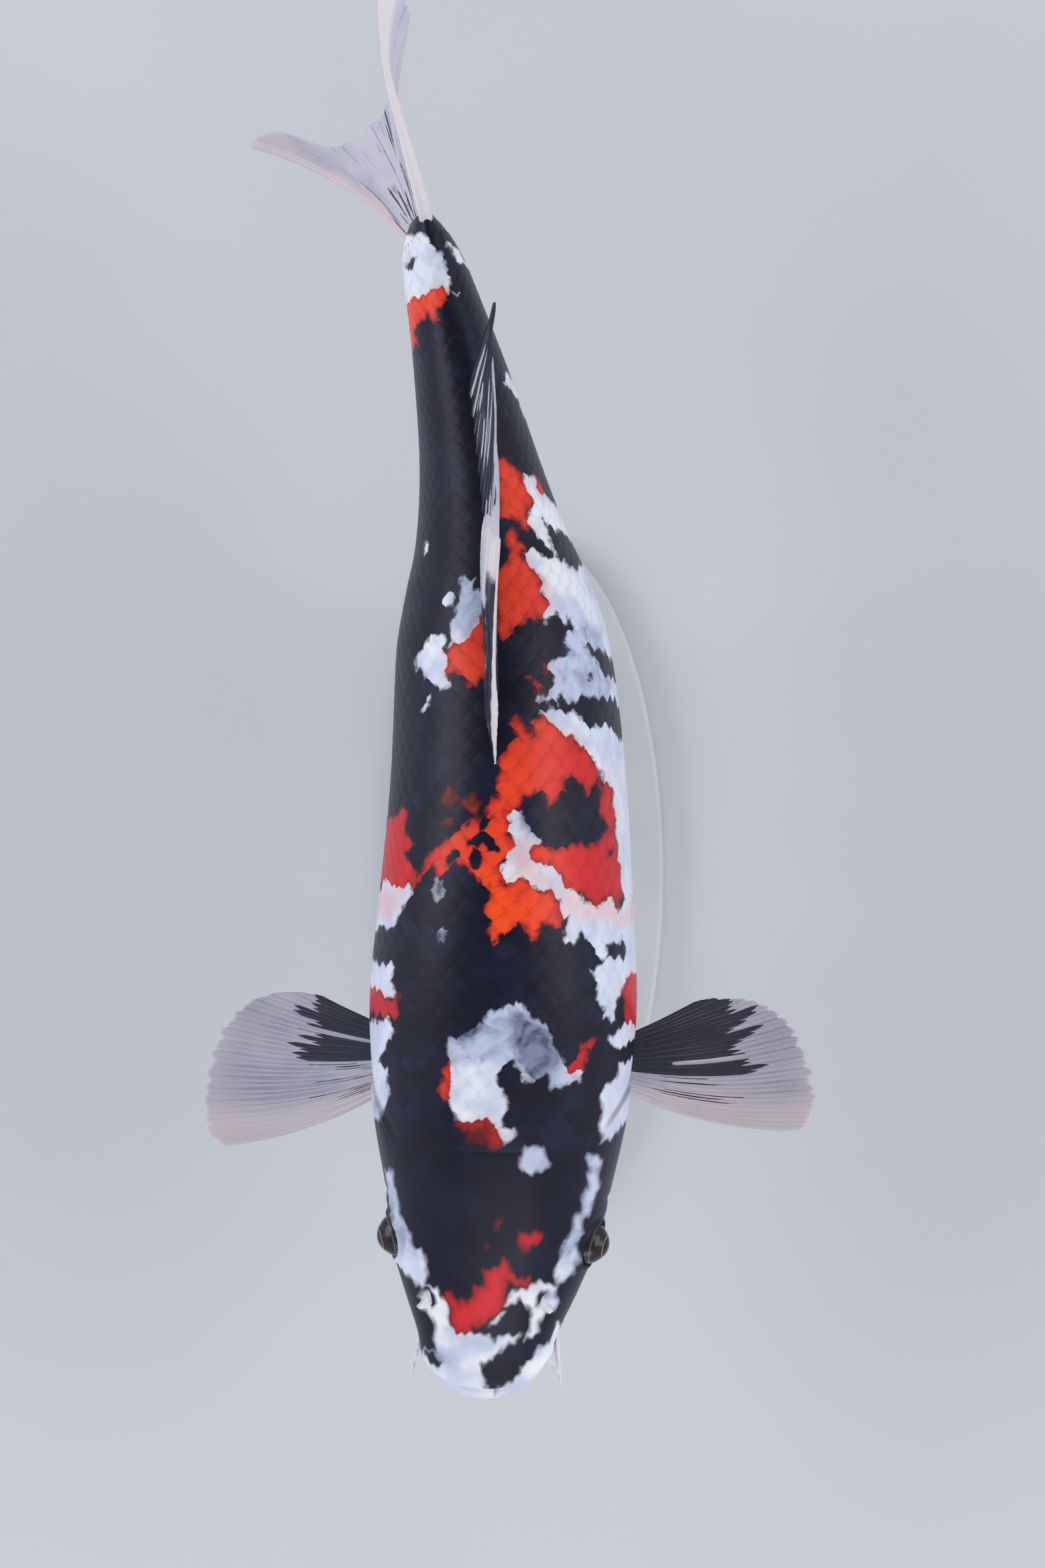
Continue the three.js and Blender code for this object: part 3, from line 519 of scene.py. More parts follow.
def make_mesh(name, points, faces, material, values=None, uv=None):
    """A smooth-shaded mesh; points in mm, and values by name and a uv pair for each point."""
    mesh = bpy.data.meshes.new(name)
    mesh.vertices.add(len(points))
    mesh.vertices.foreach_set("co", (np.asarray(points) * MM).astype(np.float32).ravel())
    faces = np.asarray(faces)
    corners = faces.ravel()
    starts = np.arange(0, len(corners), faces.shape[1], dtype=np.int32)
    mesh.loops.add(len(corners))
    mesh.loops.foreach_set("vertex_index", corners.astype(np.int32))
    mesh.polygons.add(len(faces))
    mesh.polygons.foreach_set("loop_start", starts)
    for key, numbers in (values or {}).items():
        layer = mesh.attributes.new(key, "FLOAT", "POINT")
        layer.data.foreach_set("value", np.asarray(numbers, np.float32).ravel())
    if uv is not None:
        layer = mesh.uv_layers.new(name="OFBake")
        layer.data.foreach_set("uv", np.asarray(uv, np.float32)[corners].ravel())
    mesh.update(calc_edges=True)
    mesh.validate()
    mesh.shade_smooth()
    mesh.materials.append(material)
    piece = bpy.data.objects.new(name, mesh)
    collection.objects.link(piece)
    return piece


def flip_if_inside_out(piece):
    """Faces point outward: the volume found from them is positive."""
    mesh = piece.data
    mesh.calc_loop_triangles()
    corners = np.zeros(len(mesh.vertices) * 3)
    mesh.vertices.foreach_get("co", corners)
    triangles = np.zeros(len(mesh.loop_triangles) * 3, int)
    mesh.loop_triangles.foreach_get("vertices", triangles)
    a, b, c = corners.reshape(-1, 3)[triangles.reshape(-1, 3)].transpose(1, 0, 2)
    if np.sum(a * np.cross(b, c)) < 0:
        mesh.flip_normals()


def make_piece(name, shape, material, nodes=(), values=None, uv=None):
    """A closed piece of the finished model, in place of the frame's nodes."""
    piece = make_mesh(name, *shape, material, values, uv)
    flip_if_inside_out(piece)
    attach(piece, "root")
    if nodes:
        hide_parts(*nodes)
    return piece


def full_turn(sides):
    return np.linspace(0, 2 * math.pi, sides, endpoint=False)


def grid_faces(rows, columns, closed=False):
    """Quads over a grid of points in rows; closed joins the last column to the first."""
    row = np.arange(rows - 1)[:, None]
    column = np.arange(columns if closed else columns - 1)[None, :]
    a = row * columns + column
    b = row * columns + (column + 1) % columns
    return np.stack([a, b, b + columns, a + columns], -1).reshape(-1, 4)


def capped_rings(rings, start, end):
    """Points and triangles of a solid made of rings, closed to a point at each end."""
    sides = rings.shape[1]
    count = len(rings) * sides
    points = np.concatenate([rings.reshape(-1, 3), [start, end]])
    quads = grid_faces(len(rings), sides, closed=True)
    around = np.arange(sides)
    after = (around + 1) % sides
    last = count - sides
    start_fan = np.stack([after, around, np.full(sides, count)], -1)
    end_fan = np.stack([around + last, after + last, np.full(sides, count + 1)], -1)
    return points, np.concatenate([quads[:, [0, 1, 2]], quads[:, [0, 2, 3]], start_fan, end_fan])


def blade_normal(middle):
    return unit(np.cross(np.gradient(middle, axis=0), np.gradient(middle, axis=1)))


def closed_blade(middle, normal, half):
    """Points and quads of a blade: a grid of points thickened by half to both sides."""
    rows, columns = half.shape
    count = rows * columns
    rise = normal * half[..., None]
    points = np.concatenate([(middle + rise).reshape(-1, 3), (middle - rise).reshape(-1, 3)])
    quads = grid_faces(rows, columns)
    index = np.arange(count).reshape(rows, columns)
    rim = np.concatenate([index[:, 0], index[-1, 1:], index[-2::-1, -1], index[0, -2:0:-1]])
    after = np.roll(rim, -1)
    edge = np.stack([rim, rim + count, after + count, after], -1)
    return points, np.concatenate([quads, quads[:, ::-1] + count, edge[:, ::-1]])


# ------------ materials

class Paint:
    """Short calls for building the node tree of a material, or of the world."""

    def __init__(self, owner, shader="Principled BSDF"):
        owner.use_nodes = True
        self.owner = owner
        self.tree = owner.node_tree
        self.shader = self.tree.nodes[shader]

    def fill(self, node, inputs):
        for key, value in inputs.items():
            if isinstance(value, bpy.types.NodeSocket):
                self.tree.links.new(value, node.inputs[key])
            else:
                node.inputs[key].default_value = value

    def node(self, kind, output, inputs, **settings):
        """Adds a node, and gives back the output named."""
        made = self.tree.nodes.new(kind)
        for key, value in settings.items():
            setattr(made, key, value)
        self.fill(made, inputs)
        return made.outputs[output]

    def attribute(self, name):
        return self.node("ShaderNodeAttribute", "Fac", {}, attribute_name=name)

    def plus(self, a, b):
        return self.node("ShaderNodeMath", 0, {0: a, 1: b}, operation="ADD")

    def times(self, a, b):
        return self.node("ShaderNodeMath", 0, {0: a, 1: b}, operation="MULTIPLY")

    def noise(self, scale, detail=2.0, roughness=0.5, distortion=0.0, stretch=None):
        place = self.node("ShaderNodeTexCoord", "Object", {})
        if stretch:
            place = self.node("ShaderNodeMapping", "Vector", {"Vector": place, "Scale": stretch})
        return self.node("ShaderNodeTexNoise", "Fac", {
            "Vector": place, "Scale": scale, "Detail": detail, "Roughness": roughness,
            "Distortion": distortion,
        })

    def ramp(self, value, low, high):
        """0 at low, 1 at high, smooth between."""
        inputs = {"Value": value, "From Min": low, "From Max": high}
        return self.node("ShaderNodeMapRange", "Result", inputs, interpolation_type="SMOOTHSTEP")

    def mix(self, share, a, b, kind="RGBA"):
        inputs = {"Factor": share, "A": a, "B": b}
        return self.node("ShaderNodeMix", "Result", inputs, data_type=kind)

    def blend(self, share, a, b):
        return self.mix(share, a, b, "FLOAT")

    def bump(self, height, strength, distance):
        inputs = {"Height": height, "Strength": strength, "Distance": distance}
        self.fill(self.shader, {"Normal": self.node("ShaderNodeBump", "Normal", inputs)})

    def finish(self, base, roughness, ior=1.4, coat=(0.0, 0.1), subsurface=0.0, metallic=0.0,
               alpha=1.0):
        """Sets the surface, coat by its weight and roughness, and gives back the material."""
        self.fill(self.shader, {
            "Base Color": base, "Roughness": roughness, "IOR": ior, "Metallic": metallic,
            "Coat Weight": coat[0], "Coat Roughness": coat[1], "Alpha": alpha,
            "Subsurface Weight": subsurface, "Subsurface Scale": 0.002,
        })
        return self.owner


def new_paint(name):
    return Paint(bpy.data.materials.new(name))


def color(red, green, blue):
    return (red, green, blue, 1.0)


SUMI = color(0.005, 0.005, 0.016)
SUMI_LIGHT = color(0.014, 0.015, 0.042)
WHITE = color(0.84, 0.84, 0.88)
WHITE_COOL = color(0.52, 0.56, 0.72)
PINK_SKIN = color(0.8, 0.42, 0.4)
ORANGE = color(1.0, 0.085, 0.014)
RED = color(0.66, 0.018, 0.028)
CRIMSON = color(0.3, 0.012, 0.014)
MAROON = color(0.045, 0.006, 0.01)
SMOKE = color(0.03, 0.035, 0.085)
SMOKE_LIGHT = color(0.13, 0.15, 0.26)


def skin_material():
    """Black, red and white, from the marking fields in mm, with noise that frays the edges. The flanks
    and the gill slit carry painted shade.
    """
    paint = new_paint("koi_skin")
    mix, plus, times, ramp, value = paint.mix, paint.plus, paint.times, paint.ramp, paint.attribute
    fine = paint.noise(430, detail=4, roughness=0.55)
    broad = paint.noise(75)
    fray = plus(times(plus(fine, -0.5), 2.4), times(plus(broad, -0.5), 2.0))
    crisp = value("crisp")
    shift = times(fray, crisp)

    def field(name, low, high):
        return ramp(times(plus(value(name), shift), crisp), low, high)

    rim, tone, flank_shade = value("rim"), value("tone"), value("flank_shade")
    red = mix(times(value("warm"), ramp(broad, 0.0, 0.5)), RED, ORANGE)
    # Painted shade: the red turns crimson toward the flanks.
    red = mix(times(flank_shade, 0.35), red, CRIMSON)
    red = mix(times(ramp(tone, 0.4, 1.0), 0.16), red, RED)
    red = mix(times(rim, 0.3), red, CRIMSON)
    red = mix(field("red_depth", -0.6, 2.2), CRIMSON, red)
    mottle = ramp(paint.noise(150, distortion=0.4), 0.38, 0.7)
    greyed = mix(times(mottle, 0.55), WHITE_COOL, SMOKE_LIGHT)
    white = mix(ramp(broad, 0.35, 0.75), WHITE, WHITE_COOL)
    # Painted shade: the white turns cool grey-blue toward the flanks.
    white = mix(times(flank_shade, 0.5), white, WHITE_COOL)
    white = mix(field("grey", -2.0, 2.5), white, greyed)
    white = mix(times(ramp(value("red"), -6.0, 0.5), 0.3), white, PINK_SKIN)
    white = mix(times(field("pink", -3.0, 3.0), 0.6), white, PINK_SKIN)
    white = mix(times(rim, 0.4), white, WHITE_COOL)
    is_red = field("red", -0.4, 0.4)
    film = mix(is_red, mix(mottle, SMOKE_LIGHT, SMOKE), MAROON)
    film_share = times(field("dim", -2.5, 2.5), paint.blend(mottle, 0.78, 0.97))
    open_color = mix(film_share, mix(is_red, white, red), film)
    black = mix(times(tone, ramp(broad, 0.3, 0.75)), SUMI, SUMI_LIGHT)
    base = mix(field("open_skin", -0.6, 0.7), black, open_color)
    base = mix(times(value("pore"), 0.35), base, SUMI_LIGHT)
    # Painted shade: a dark maroon line in the gill slit.
    base = mix(times(value("slit"), 0.6), base, MAROON)
    paint.bump(paint.noise(900, detail=3), 0.08, 0.0002)
    return paint.finish(base, paint.blend(fine, 0.32, 0.46), ior=1.29, subsurface=0.05)


skin_paint = skin_material()

# ------------ the skin

SKIN_SIDES = 288
SKIN_DEPTH = 0.3  # the scales' depth: the skin lies this far inside the body's outline
HEAD_END = 0.29  # rings lie closer together ahead of this share, and folds end before it
UPPER_LIP = (0, 0, 3.1, 1.8)  # set back, set down, radius in front and at the corners
LOWER_LIP = (2.6, 5.4, 2.5, 1.2)
FACE_DEGREE = 0.55  # millimetres round the face in one degree
LIP_BLEND = 0.8  # softness where the lips meet the face
NOSTRILS = ((0.0895, 40, 1.7), (0.0815, 37, 1.1))  # share, degrees from the ridge, radius
HOLLOW_BLEND = 0.5  # softness at the rims of the eye sockets and nostrils
SKIN_SEARCH = np.linspace(6.5, -4.5, 34)  # lifts where the skin is looked for, from outside in


def lip_route(t, back, down):
    angle = lerp(-90, 90, t) * DEG
    ahead = (LIP_REACH - back) * np.cos(angle)
    drop = LIP_CORNER_DROP * (1 - np.cos(angle))
    share = MOUTH_CORNER - ahead / LENGTH
    return beside_spine(share, LIP_HALF_WIDTH * np.sin(angle), LIP_FRONT_UP - drop - down)


def lip_field(points, back, down, front, corner):
    """Distance to a lip, a tube of varying thickness, and to the lip's middle line."""
    t = np.linspace(0, 1, 110)
    thick = lerp(corner, front, np.sin(math.pi * t) ** 0.7)
    nearest = np.full(points.shape[:-1], 1e9)
    line = nearest
    for centre, radius in zip(lip_route(t, back, down), thick):
        gap = np.sqrt(np.sum((points - centre) ** 2, -1))
        nearest = np.minimum(nearest, gap - radius)
        line = np.minimum(line, gap)
    return nearest, line


def cover_edges(angle):
    """Front and rear edge of the gill cover, as shares, and the place between top and bottom."""
    place = np.clip((np.abs(angle) - COVER_TOP) / (COVER_BOTTOM - COVER_TOP), 0, 1)
    bulge = np.sin(math.pi * place)
    return 0.186 - 0.016 * bulge, lerp(0.206, 0.196, place) + 0.064 * bulge**0.8, place


def gill_cover_relief(share, angle):
    front, rear, place = cover_edges(angle)
    inside = (rear - share) * LENGTH
    from_front = (share - front) * LENGTH
    along = np.clip(from_front / ((rear - front) * LENGTH), 0, 1)
    plate = COVER_RISE * smooth(along) * smooth(inside / 1.3)
    membrane = -0.35 * bump(inside - 3.4, 1.0)
    slit = -1.2 * np.exp(np.minimum(inside - 0.4, 0) / 2.2) * smooth((0.4 - inside) / 0.9)
    crease = -0.55 * bump(from_front, 1.2) - 0.3 * bump(from_front + 7.5, 2.0)
    suture = -0.22 * bump((place - 0.66 - 0.1 * along) * 60, 1.1) * smooth(along * 5)
    ribs = 0.03 * np.sin(place * 95 + along * 4) * smooth(along * 3) * smooth(inside / 3)
    strength = smooth(np.sin(math.pi * place) * 1.8)
    return strength * (plate + membrane + slit + crease + suture + ribs)


def face_relief(share, angle, points):
    """Shallow folds of the head, as a height over the plain form."""
    turned = np.abs(angle) / DEG
    along = share * LENGTH
    fold = (turned - lerp(110, 150, np.clip((share - 0.05) / 0.11, 0, 1))) * FACE_DEGREE
    under_cheek = -0.75 * bump(fold, 1.2) + 0.4 * bump(fold + 9 * FACE_DEGREE, 2.4)
    under_cheek *= smooth((share - 0.045) / 0.02) * smooth((0.175 - share) / 0.02)
    fold = (turned - 104 - 16 * smooth((share - 0.1) / 0.06)) * FACE_DEGREE
    below_eye = -0.28 * bump(fold, 1.6)
    below_eye *= smooth((share - 0.075) / 0.03) * smooth((0.17 - share) / 0.02)
    nostril_dip = -0.45 * bump(along - 0.086 * LENGTH, 5.5) * bump(turned - 38, 10)
    brow_dip = -0.35 * bump(along - 0.115 * LENGTH, 14) * bump(turned - 30, 12)
    snout_ridge = 0.25 * bump(along - 0.09 * LENGTH, 20) * bump(turned, 7)
    relief = gill_cover_relief(share, angle) + under_cheek + below_eye
    relief += nostril_dip + brow_dip + snout_ridge
    for _, side in SIDES:
        gap = np.linalg.norm(points - eye_centre(side), axis=-1) - EYEBALL_RADIUS
        eye_ring, eye_groove = 0.55 * bump(gap - 1.0, 0.8), 0.3 * bump(gap - 2.8, 0.9)
        relief += eye_ring - eye_groove
    return relief


def skin_lift(share, angle, points, normals):
    """How far the finished skin lies over the plain form, on rays along the normals."""
    surface = orbit_swelling(points) + face_relief(share, angle, points) - 0.05
    hollows = [(eye_centre(side), EYEBALL_RADIUS + 0.12) for _, side in SIDES]
    for _, side in SIDES:
        for place, turn, radius in NOSTRILS:
            hollows.append((plain_point(place, side * turn * DEG, 0.2), radius))

    def field(lift):
        spot = points + normals * lift
        upper, upper_line = lip_field(spot, *UPPER_LIP)
        lower, _ = lip_field(spot, *LOWER_LIP)
        above = smooth((spot[..., 2] - AXIS_HEIGHT - LIP_FRONT_UP + 8) / 6)
        fold = -0.8 * bump(upper_line - 4.6, 0.75) + 0.4 * bump(upper_line - 6.6, 1.4)
        solid = soft_min(lift - surface - fold * above, upper, LIP_BLEND)
        solid = soft_min(solid, lower, LIP_BLEND)
        for centre, radius in hollows:
            gap = np.linalg.norm(spot - centre, axis=-1)
            solid = soft_max(solid, radius - gap, HOLLOW_BLEND)
        return solid

    found = np.full(points.shape[:-1], SKIN_SEARCH[-1])
    done = np.zeros(points.shape[:-1], bool)
    before = field(SKIN_SEARCH[0])
    for outer, inner in zip(SKIN_SEARCH[:-1], SKIN_SEARCH[1:]):
        value = field(inner)
        hit = (value < 0) & ~done
        t = before / np.where(before - value == 0, 1, before - value)
        found = np.where(hit, lerp(outer, inner, np.clip(t, 0, 1)), found)
        done |= hit
        before = value
    return found


def body_uv(share, angle):
    return np.stack([share, (angle + math.pi) / (2 * math.pi)], -1)


def relax(values):
    """Evens out values over the grid, closed round the body."""
    around = (np.roll(values, 1, 1) + np.roll(values, -1, 1)) / 2
    along = values.copy()
    along[1:-1] = (values[:-2] + values[2:]) / 2
    return values * 0.5 + around * 0.25 + along * 0.25


def build_skin():
    head_shares = NOSE_SHARE + (HEAD_END - NOSE_SHARE) * np.linspace(0.012, 1, 170) ** 1.35
    shares = np.concatenate([head_shares, np.linspace(HEAD_END, END_SHARE, 160)[1:]])
    angles = full_turn(SKIN_SIDES) - math.pi
    share, angle = np.meshgrid(shares, angles, indexing="ij")
    points = plain_point(share, angle)
    normals = plain_normal(share, angle)
    lift = np.full(share.shape, -SKIN_DEPTH)
    head = slice(0, len(head_shares))
    lift[head] = skin_lift(share[head], angle[head], points[head], normals[head])
    lift[head] -= SKIN_DEPTH * smooth((share[head] - scale_start(angle[head])) / 0.012)
    points = points + normals * relax(lift)[..., None]
    shape = capped_rings(points, points[0].mean(0), points[-1].mean(0))
    values = paint_markings(share, angle)
    values.update(tone=np.full(share.size, 0.5), rim=np.zeros(share.size), pore=np.zeros(share.size))
    values = {key: np.concatenate([v, [v[0], v[-1]]]) for key, v in values.items()}
    uv = np.concatenate([body_uv(share, angle).reshape(-1, 2), [[0.001, 0.5], [0.999, 0.5]]])
    nodes = ("head", "jaw_lower", "lip_upper", "lip_lower", "gill_cover_left", "gill_cover_right",
             "trunk_front", "trunk_rear", "tail_peduncle")
    make_piece("skin", shape, skin_paint, nodes, values, uv)


# ------------ scales

SCALES_BEGIN = 0.203  # the first and last places where scales may sit, as shares
SCALES_END = 0.974
SCALE_HALF_WIDTH = 4.1  # where the body is thickest; less where it is thinner
SCALE_LENGTHS = (8.4, 9.2)  # at the nape and behind it
SCALE_ROOT = -0.85  # from the scale's middle, in lengths
SCALE_TIP = 0.56
SCALE_STEPS = 7  # points along a scale, and across it
SCALE_THICKNESS = 0.2
SCALE_UV = 0.003  # size of a scale on the uv map
ROOT_COLOUR = 0.25  # how far a scale takes the colour at its own root
FIRST_SCALES = 0.09  # over this share the first scales rise out of the skin
GIRTH_STEPS = 241


def scale_start(angle):
    """The share where scales begin: at the nape, behind the gill covers and at the throat."""
    _, rear, place = cover_edges(angle)
    top = lerp(0.208, 0.215, smooth(np.abs(angle) / COVER_TOP))
    plain = np.where(np.abs(angle) > COVER_BOTTOM, 0.225, top)
    return lerp(plain, np.maximum(rear + 0.004, plain), smooth(np.sin(math.pi * place) * 4))


def girth_tables():
    """A run of shares, the arc length from ridge to belly at each, and the angles that lie
    at even steps of that arc."""
    shares = np.linspace(0.18, END_SHARE, 220)
    angles = np.linspace(0, math.pi, GIRTH_STEPS)
    points = plain_point(*np.meshgrid(shares, angles, indexing="ij"))
    steps = np.linalg.norm(np.diff(points, axis=1), axis=-1)
    arcs = np.concatenate([np.zeros((len(shares), 1)), np.cumsum(steps, 1)], 1)
    even = np.linspace(0, 1, GIRTH_STEPS)
    return shares, arcs[:, -1], np.array([np.interp(even, arc / arc[-1], angles) for arc in arcs])


def angle_at(share, arc, tables):
    """The angle from the ridge where the arc length is reached, by a look in the tables."""
    shares, girths, angles = tables
    row = np.clip((share - shares[0]) / (shares[1] - shares[0]), 0, len(shares) - 1.001)
    low = row.astype(int)
    part = row - low
    wanted = np.clip(arc / lerp(girths[low], girths[low + 1], part), 0, 1)
    column = np.clip(wanted * (GIRTH_STEPS - 1), 0, GIRTH_STEPS - 1.001)
    left = column.astype(int)
    lower, upper = (lerp(angles[r, left], angles[r, left + 1], column - left) for r in (low, low + 1))
    return lerp(lower, upper, part)


def lay_out_scales(tables):
    """Every scale: share, arc from the ridge, half width, length and side."""
    shares, girths, _ = tables
    scales = []
    share = SCALES_BEGIN
    column = 0
    while share < SCALES_END:
        girth = np.interp(share, shares, girths)
        shrink = (girth / np.max(girths)) ** 0.5
        half = SCALE_HALF_WIDTH * shrink
        length = lerp(*SCALE_LENGTHS, smooth((share - 0.2) / 0.1)) * shrink
        for row in range(column % 2, int(girth / half) + 1, 2):
            if row * half <= girth - 0.2 * half:
                sides = (1, -1) if row else (1,)
                scales += [(share, row * half, half, length, side) for side in sides]
        share += length / 2 / LENGTH
        column += 1
    return np.array(scales)


def build_scales():
    tables = girth_tables()
    scales = lay_out_scales(tables)
    angle = angle_at(scales[:, 0], scales[:, 1], tables) * scales[:, 4]
    start = scale_start(angle)
    keep = scales[:, 0] > start + 0.004
    scales, angle, start = scales[keep], angle[keep], start[keep]
    number = len(scales)
    rng = np.random.default_rng(7)
    tone = rng.uniform(0, 1, number)
    tilt = rng.uniform(0.85, 1.15, number)[:, None, None]

    # One scale's form: t runs from its root to its free rear edge, w across it.
    t = np.linspace(0, 1, SCALE_STEPS)[:, None]
    w = np.linspace(-1, 1, SCALE_STEPS)[None, :]
    reach = lerp(SCALE_ROOT, SCALE_TIP, t)
    rounding = np.sqrt(np.maximum(0, 1 - (np.maximum(reach + 0.02, 0) / 0.6) ** 2.4))
    across = w * np.maximum(1.1 * rounding * lerp(0.8, 1, smooth(t * 3)), 0.12)
    along = reach - 0.05 * (w**2) * t
    dome = 0.09 * (1 - w**2) * smooth(t * 2) - 0.05 * smooth((t - 0.8) / 0.2) ** 2
    rise = lerp(-0.2, 0.1, t**0.8) + dome

    share, arc, half, length, side = scales.T[:, :, None, None]
    place = np.minimum(share + along * length / LENGTH, END_SHARE)
    signed = arc * side + across * half
    turned = angle_at(place, np.abs(signed), tables) * np.sign(signed)
    embedded = 1 - smooth((share - start[:, None, None]) / FIRST_SCALES)
    beside_cover = np.sin(math.pi * cover_edges(turned)[2])
    past_start = (place - scale_start(turned)) * LENGTH
    buried = lerp(0.35, 1.2, smooth(4 * beside_cover)) * smooth((2.0 - past_start) / 2.0)
    lift = -SKIN_DEPTH + 0.14 + rise * (1 - 0.75 * embedded) * tilt - buried
    normals = plain_normal(place, turned)
    top = plain_point(place, turned) + normals * lift[..., None]

    # The first scales blend with the skin, the others keep some of the colour at their root.
    snap = ROOT_COLOUR * (1 - embedded)
    root_angle = angle[:, None, None] + 0 * turned
    near_angle = np.where(np.abs(turned - root_angle) > 2, turned, lerp(turned, root_angle, snap))
    values = paint_markings(lerp(place, share, snap), near_angle)
    per_scale = SCALE_STEPS**2
    edge = np.maximum(np.abs(w) ** 6, smooth((t - 0.8) / 0.2)) * smooth(t * 3)
    values["rim"] = np.tile(edge.ravel(), number)
    values["tone"] = np.repeat(tone, per_scale)
    # The lateral line: a pore along each scale of one row, halfway down the flank.
    line_arc = lerp(0.52, 0.5, share) * np.interp(share, tables[0], tables[1])
    pore = (np.abs(w) < 0.1) * smooth((t - 0.35) * 6) * smooth((0.98 - t) * 6)
    values["pore"] = (np.abs(arc - line_arc) < half * 0.5) * pore

    within = np.stack(np.broadcast_arrays(t - 0.5, w / 2), -1).reshape(-1, 2) * SCALE_UV
    uv = body_uv(scales[:, 0], angle)[:, None] + within

    # Each scale is closed underneath by a sheet that shares the top's outline.
    inner = np.flatnonzero((np.abs(w) < 0.99) & (t > 0.01) & (t < 0.99))
    layers = np.concatenate([np.arange(per_scale), inner])
    points = np.concatenate([
        top.reshape(number, -1, 3),
        (top - SCALE_THICKNESS * normals).reshape(number, -1, 3)[:, inner],
    ], 1)
    quads = grid_faces(SCALE_STEPS, SCALE_STEPS)
    under = np.arange(per_scale)
    under[inner] = per_scale + np.arange(len(inner))
    quads = np.concatenate([quads, under[quads][:, ::-1]])
    for side_name, sign in SIDES:
        for end_name, in_end in (("front", scales[:, 0] < 0.5), ("rear", scales[:, 0] >= 0.5)):
            chosen = (scales[:, 4] == sign) & in_end
            offsets = np.arange(chosen.sum()) * len(layers)
            faces = (quads + offsets[:, None, None]).reshape(-1, 4)
            shape = points[chosen].reshape(-1, 3), faces
            own = {key: v.reshape(number, -1)[chosen][:, layers] for key, v in values.items()}
            own_uv = uv[chosen][:, layers].reshape(-1, 2)
            name = f"scales_{side_name}_{end_name}"
            piece = make_piece(name, shape, skin_paint, (), own, own_uv)
            piece.data.set_sharp_from_angle(angle=70 * DEG)


build_skin()
build_scales()


# ------------ fins

# A fin is laid out by u, from its front or upper edge to the other, and v, from root to tip.

def direction(heading, elevation):
    """A unit vector: heading 0 is +Y, toward the tail, and turns toward the fish's left."""
    return np.stack(np.broadcast_arrays(
        np.sin(heading) * np.cos(elevation),
        np.cos(heading) * np.cos(elevation),
        np.sin(elevation) + 0 * heading,
    ), -1)


def along_ray(base, length, v, direction_at):
    """Walks from the base along a turning direction, v of the length."""
    steps = 16
    place = base + 0 * v[..., None]
    for i in range(steps):
        place = place + direction_at(v * (i + 0.5) / steps) * (length * v / steps)[..., None]
    return place


DORSAL_EMBEDDED = 5.0
PECTORAL_EMBEDDED = 7
dorsal_places = [0, 0.14, 0.5, 0.8, 1]
dorsal_length = curve_through(dorsal_places, [78, 70, 50, 43, 27])
dorsal_heading = curve_through([0, 0.06, 0.14, 0.5, 0.8, 1], [2.6, -1.6, 1.5, 3, 6, 16])
dorsal_elevation = curve_through(dorsal_places, [15, 14, 7, 3, 5])
tail_heading = curve_through([0, 0.35, 0.45, 0.55, 0.65, 0.85, 1], [-13, -15, -19, -31, -42, -50, -57])
tail_length = curve_through([0, 0.12, 0.3, 0.5, 0.72, 0.9, 1], [98, 88, 60, 45, 55, 86, 97])
tail_curl = curve_through([0, 0.06, 0.2, 0.36, 0.55, 1], [14, 28, 38, 12, -4, -34])
anal_length = curve_through([0, 0.25, 1], [52, 46, 26])
pectoral_length = curve_through([0, 0.12, 0.4, 0.7, 0.88, 1], [71, 74, 70, 62, 50, 34])
pelvic_length = curve_through([0, 0.2, 0.6, 1], [44, 46, 38, 24])
spine_thickness = curve_through([0, 0.1, 0.3, 0.45, 0.7, 0.85, 1], [1.2, 1.5, 5.0, 3.6, 3.2, 2.4, 1])


def dorsal_point(u, v):
    base = body_point(lerp(0.521, 0.832, u), 0 * u, -DORSAL_EMBEDDED)
    bow = lerp(4, 0, smooth(u / 0.2))
    steep_root = lerp(34, 30, u)
    return along_ray(base, dorsal_length(u) + DORSAL_EMBEDDED * 2, v, lambda t: direction(
        (dorsal_heading(u) + lerp(-bow, bow, t)) * DEG,
        (dorsal_elevation(u) + steep_root * (1 - smooth(t * 3.2))) * DEG,
    ))


def tail_point(u, v):
    up = lerp(0.0575, -0.0535, u) * LENGTH
    base = beside_spine(lerp(0.98, 0.978, u), up * math.sin(TAIL_ROLL), up)
    elevation = lerp(32, -36, u) * DEG

    def way(t):
        curl = np.where(u < 0.4, smooth((t - 0.45) / 0.55), t - 0.5)
        return direction((tail_heading(u) + tail_curl(u) * curl) * DEG, elevation * (1 - 0.35 * t))

    return along_ray(base, tail_length(u), v, way)


def anal_point(u, v):
    share = lerp(0.775, 0.85, u)
    base = body_point(share, math.pi + 0 * u, -4)
    rake = lerp(-52, -34, u) * DEG
    heading = section_heading(share)
    return along_ray(base, anal_length(u), v, lambda t: direction(heading, rake + 18 * DEG * t))


def pectoral_point(side):
    ahead = 31 if side > 0 else 38

    def point(u, v):
        base = body_point(lerp(0.268, 0.292, u), side * lerp(124, 129, u) * DEG, -PECTORAL_EMBEDDED)
        spread = lerp(ahead, -22, u) * DEG
        sweep = lerp(34, 6, u) * DEG
        return along_ray(base, pectoral_length(u) + PECTORAL_EMBEDDED, v, lambda t: direction(
            side * (math.pi / 2 + spread - sweep * t), lerp(-6, 13, t) * DEG))

    return point


def pelvic_point(side):
    def point(u, v):
        base = body_point(lerp(0.492, 0.515, u), side * lerp(147, 157, u) * DEG, -5)
        outward = lerp(23, 2, u) * DEG
        return along_ray(base, pelvic_length(u) + 5, v, lambda t: direction(
            side * (outward - 12 * DEG * t), lerp(-34, -12, t) * DEG))

    return point


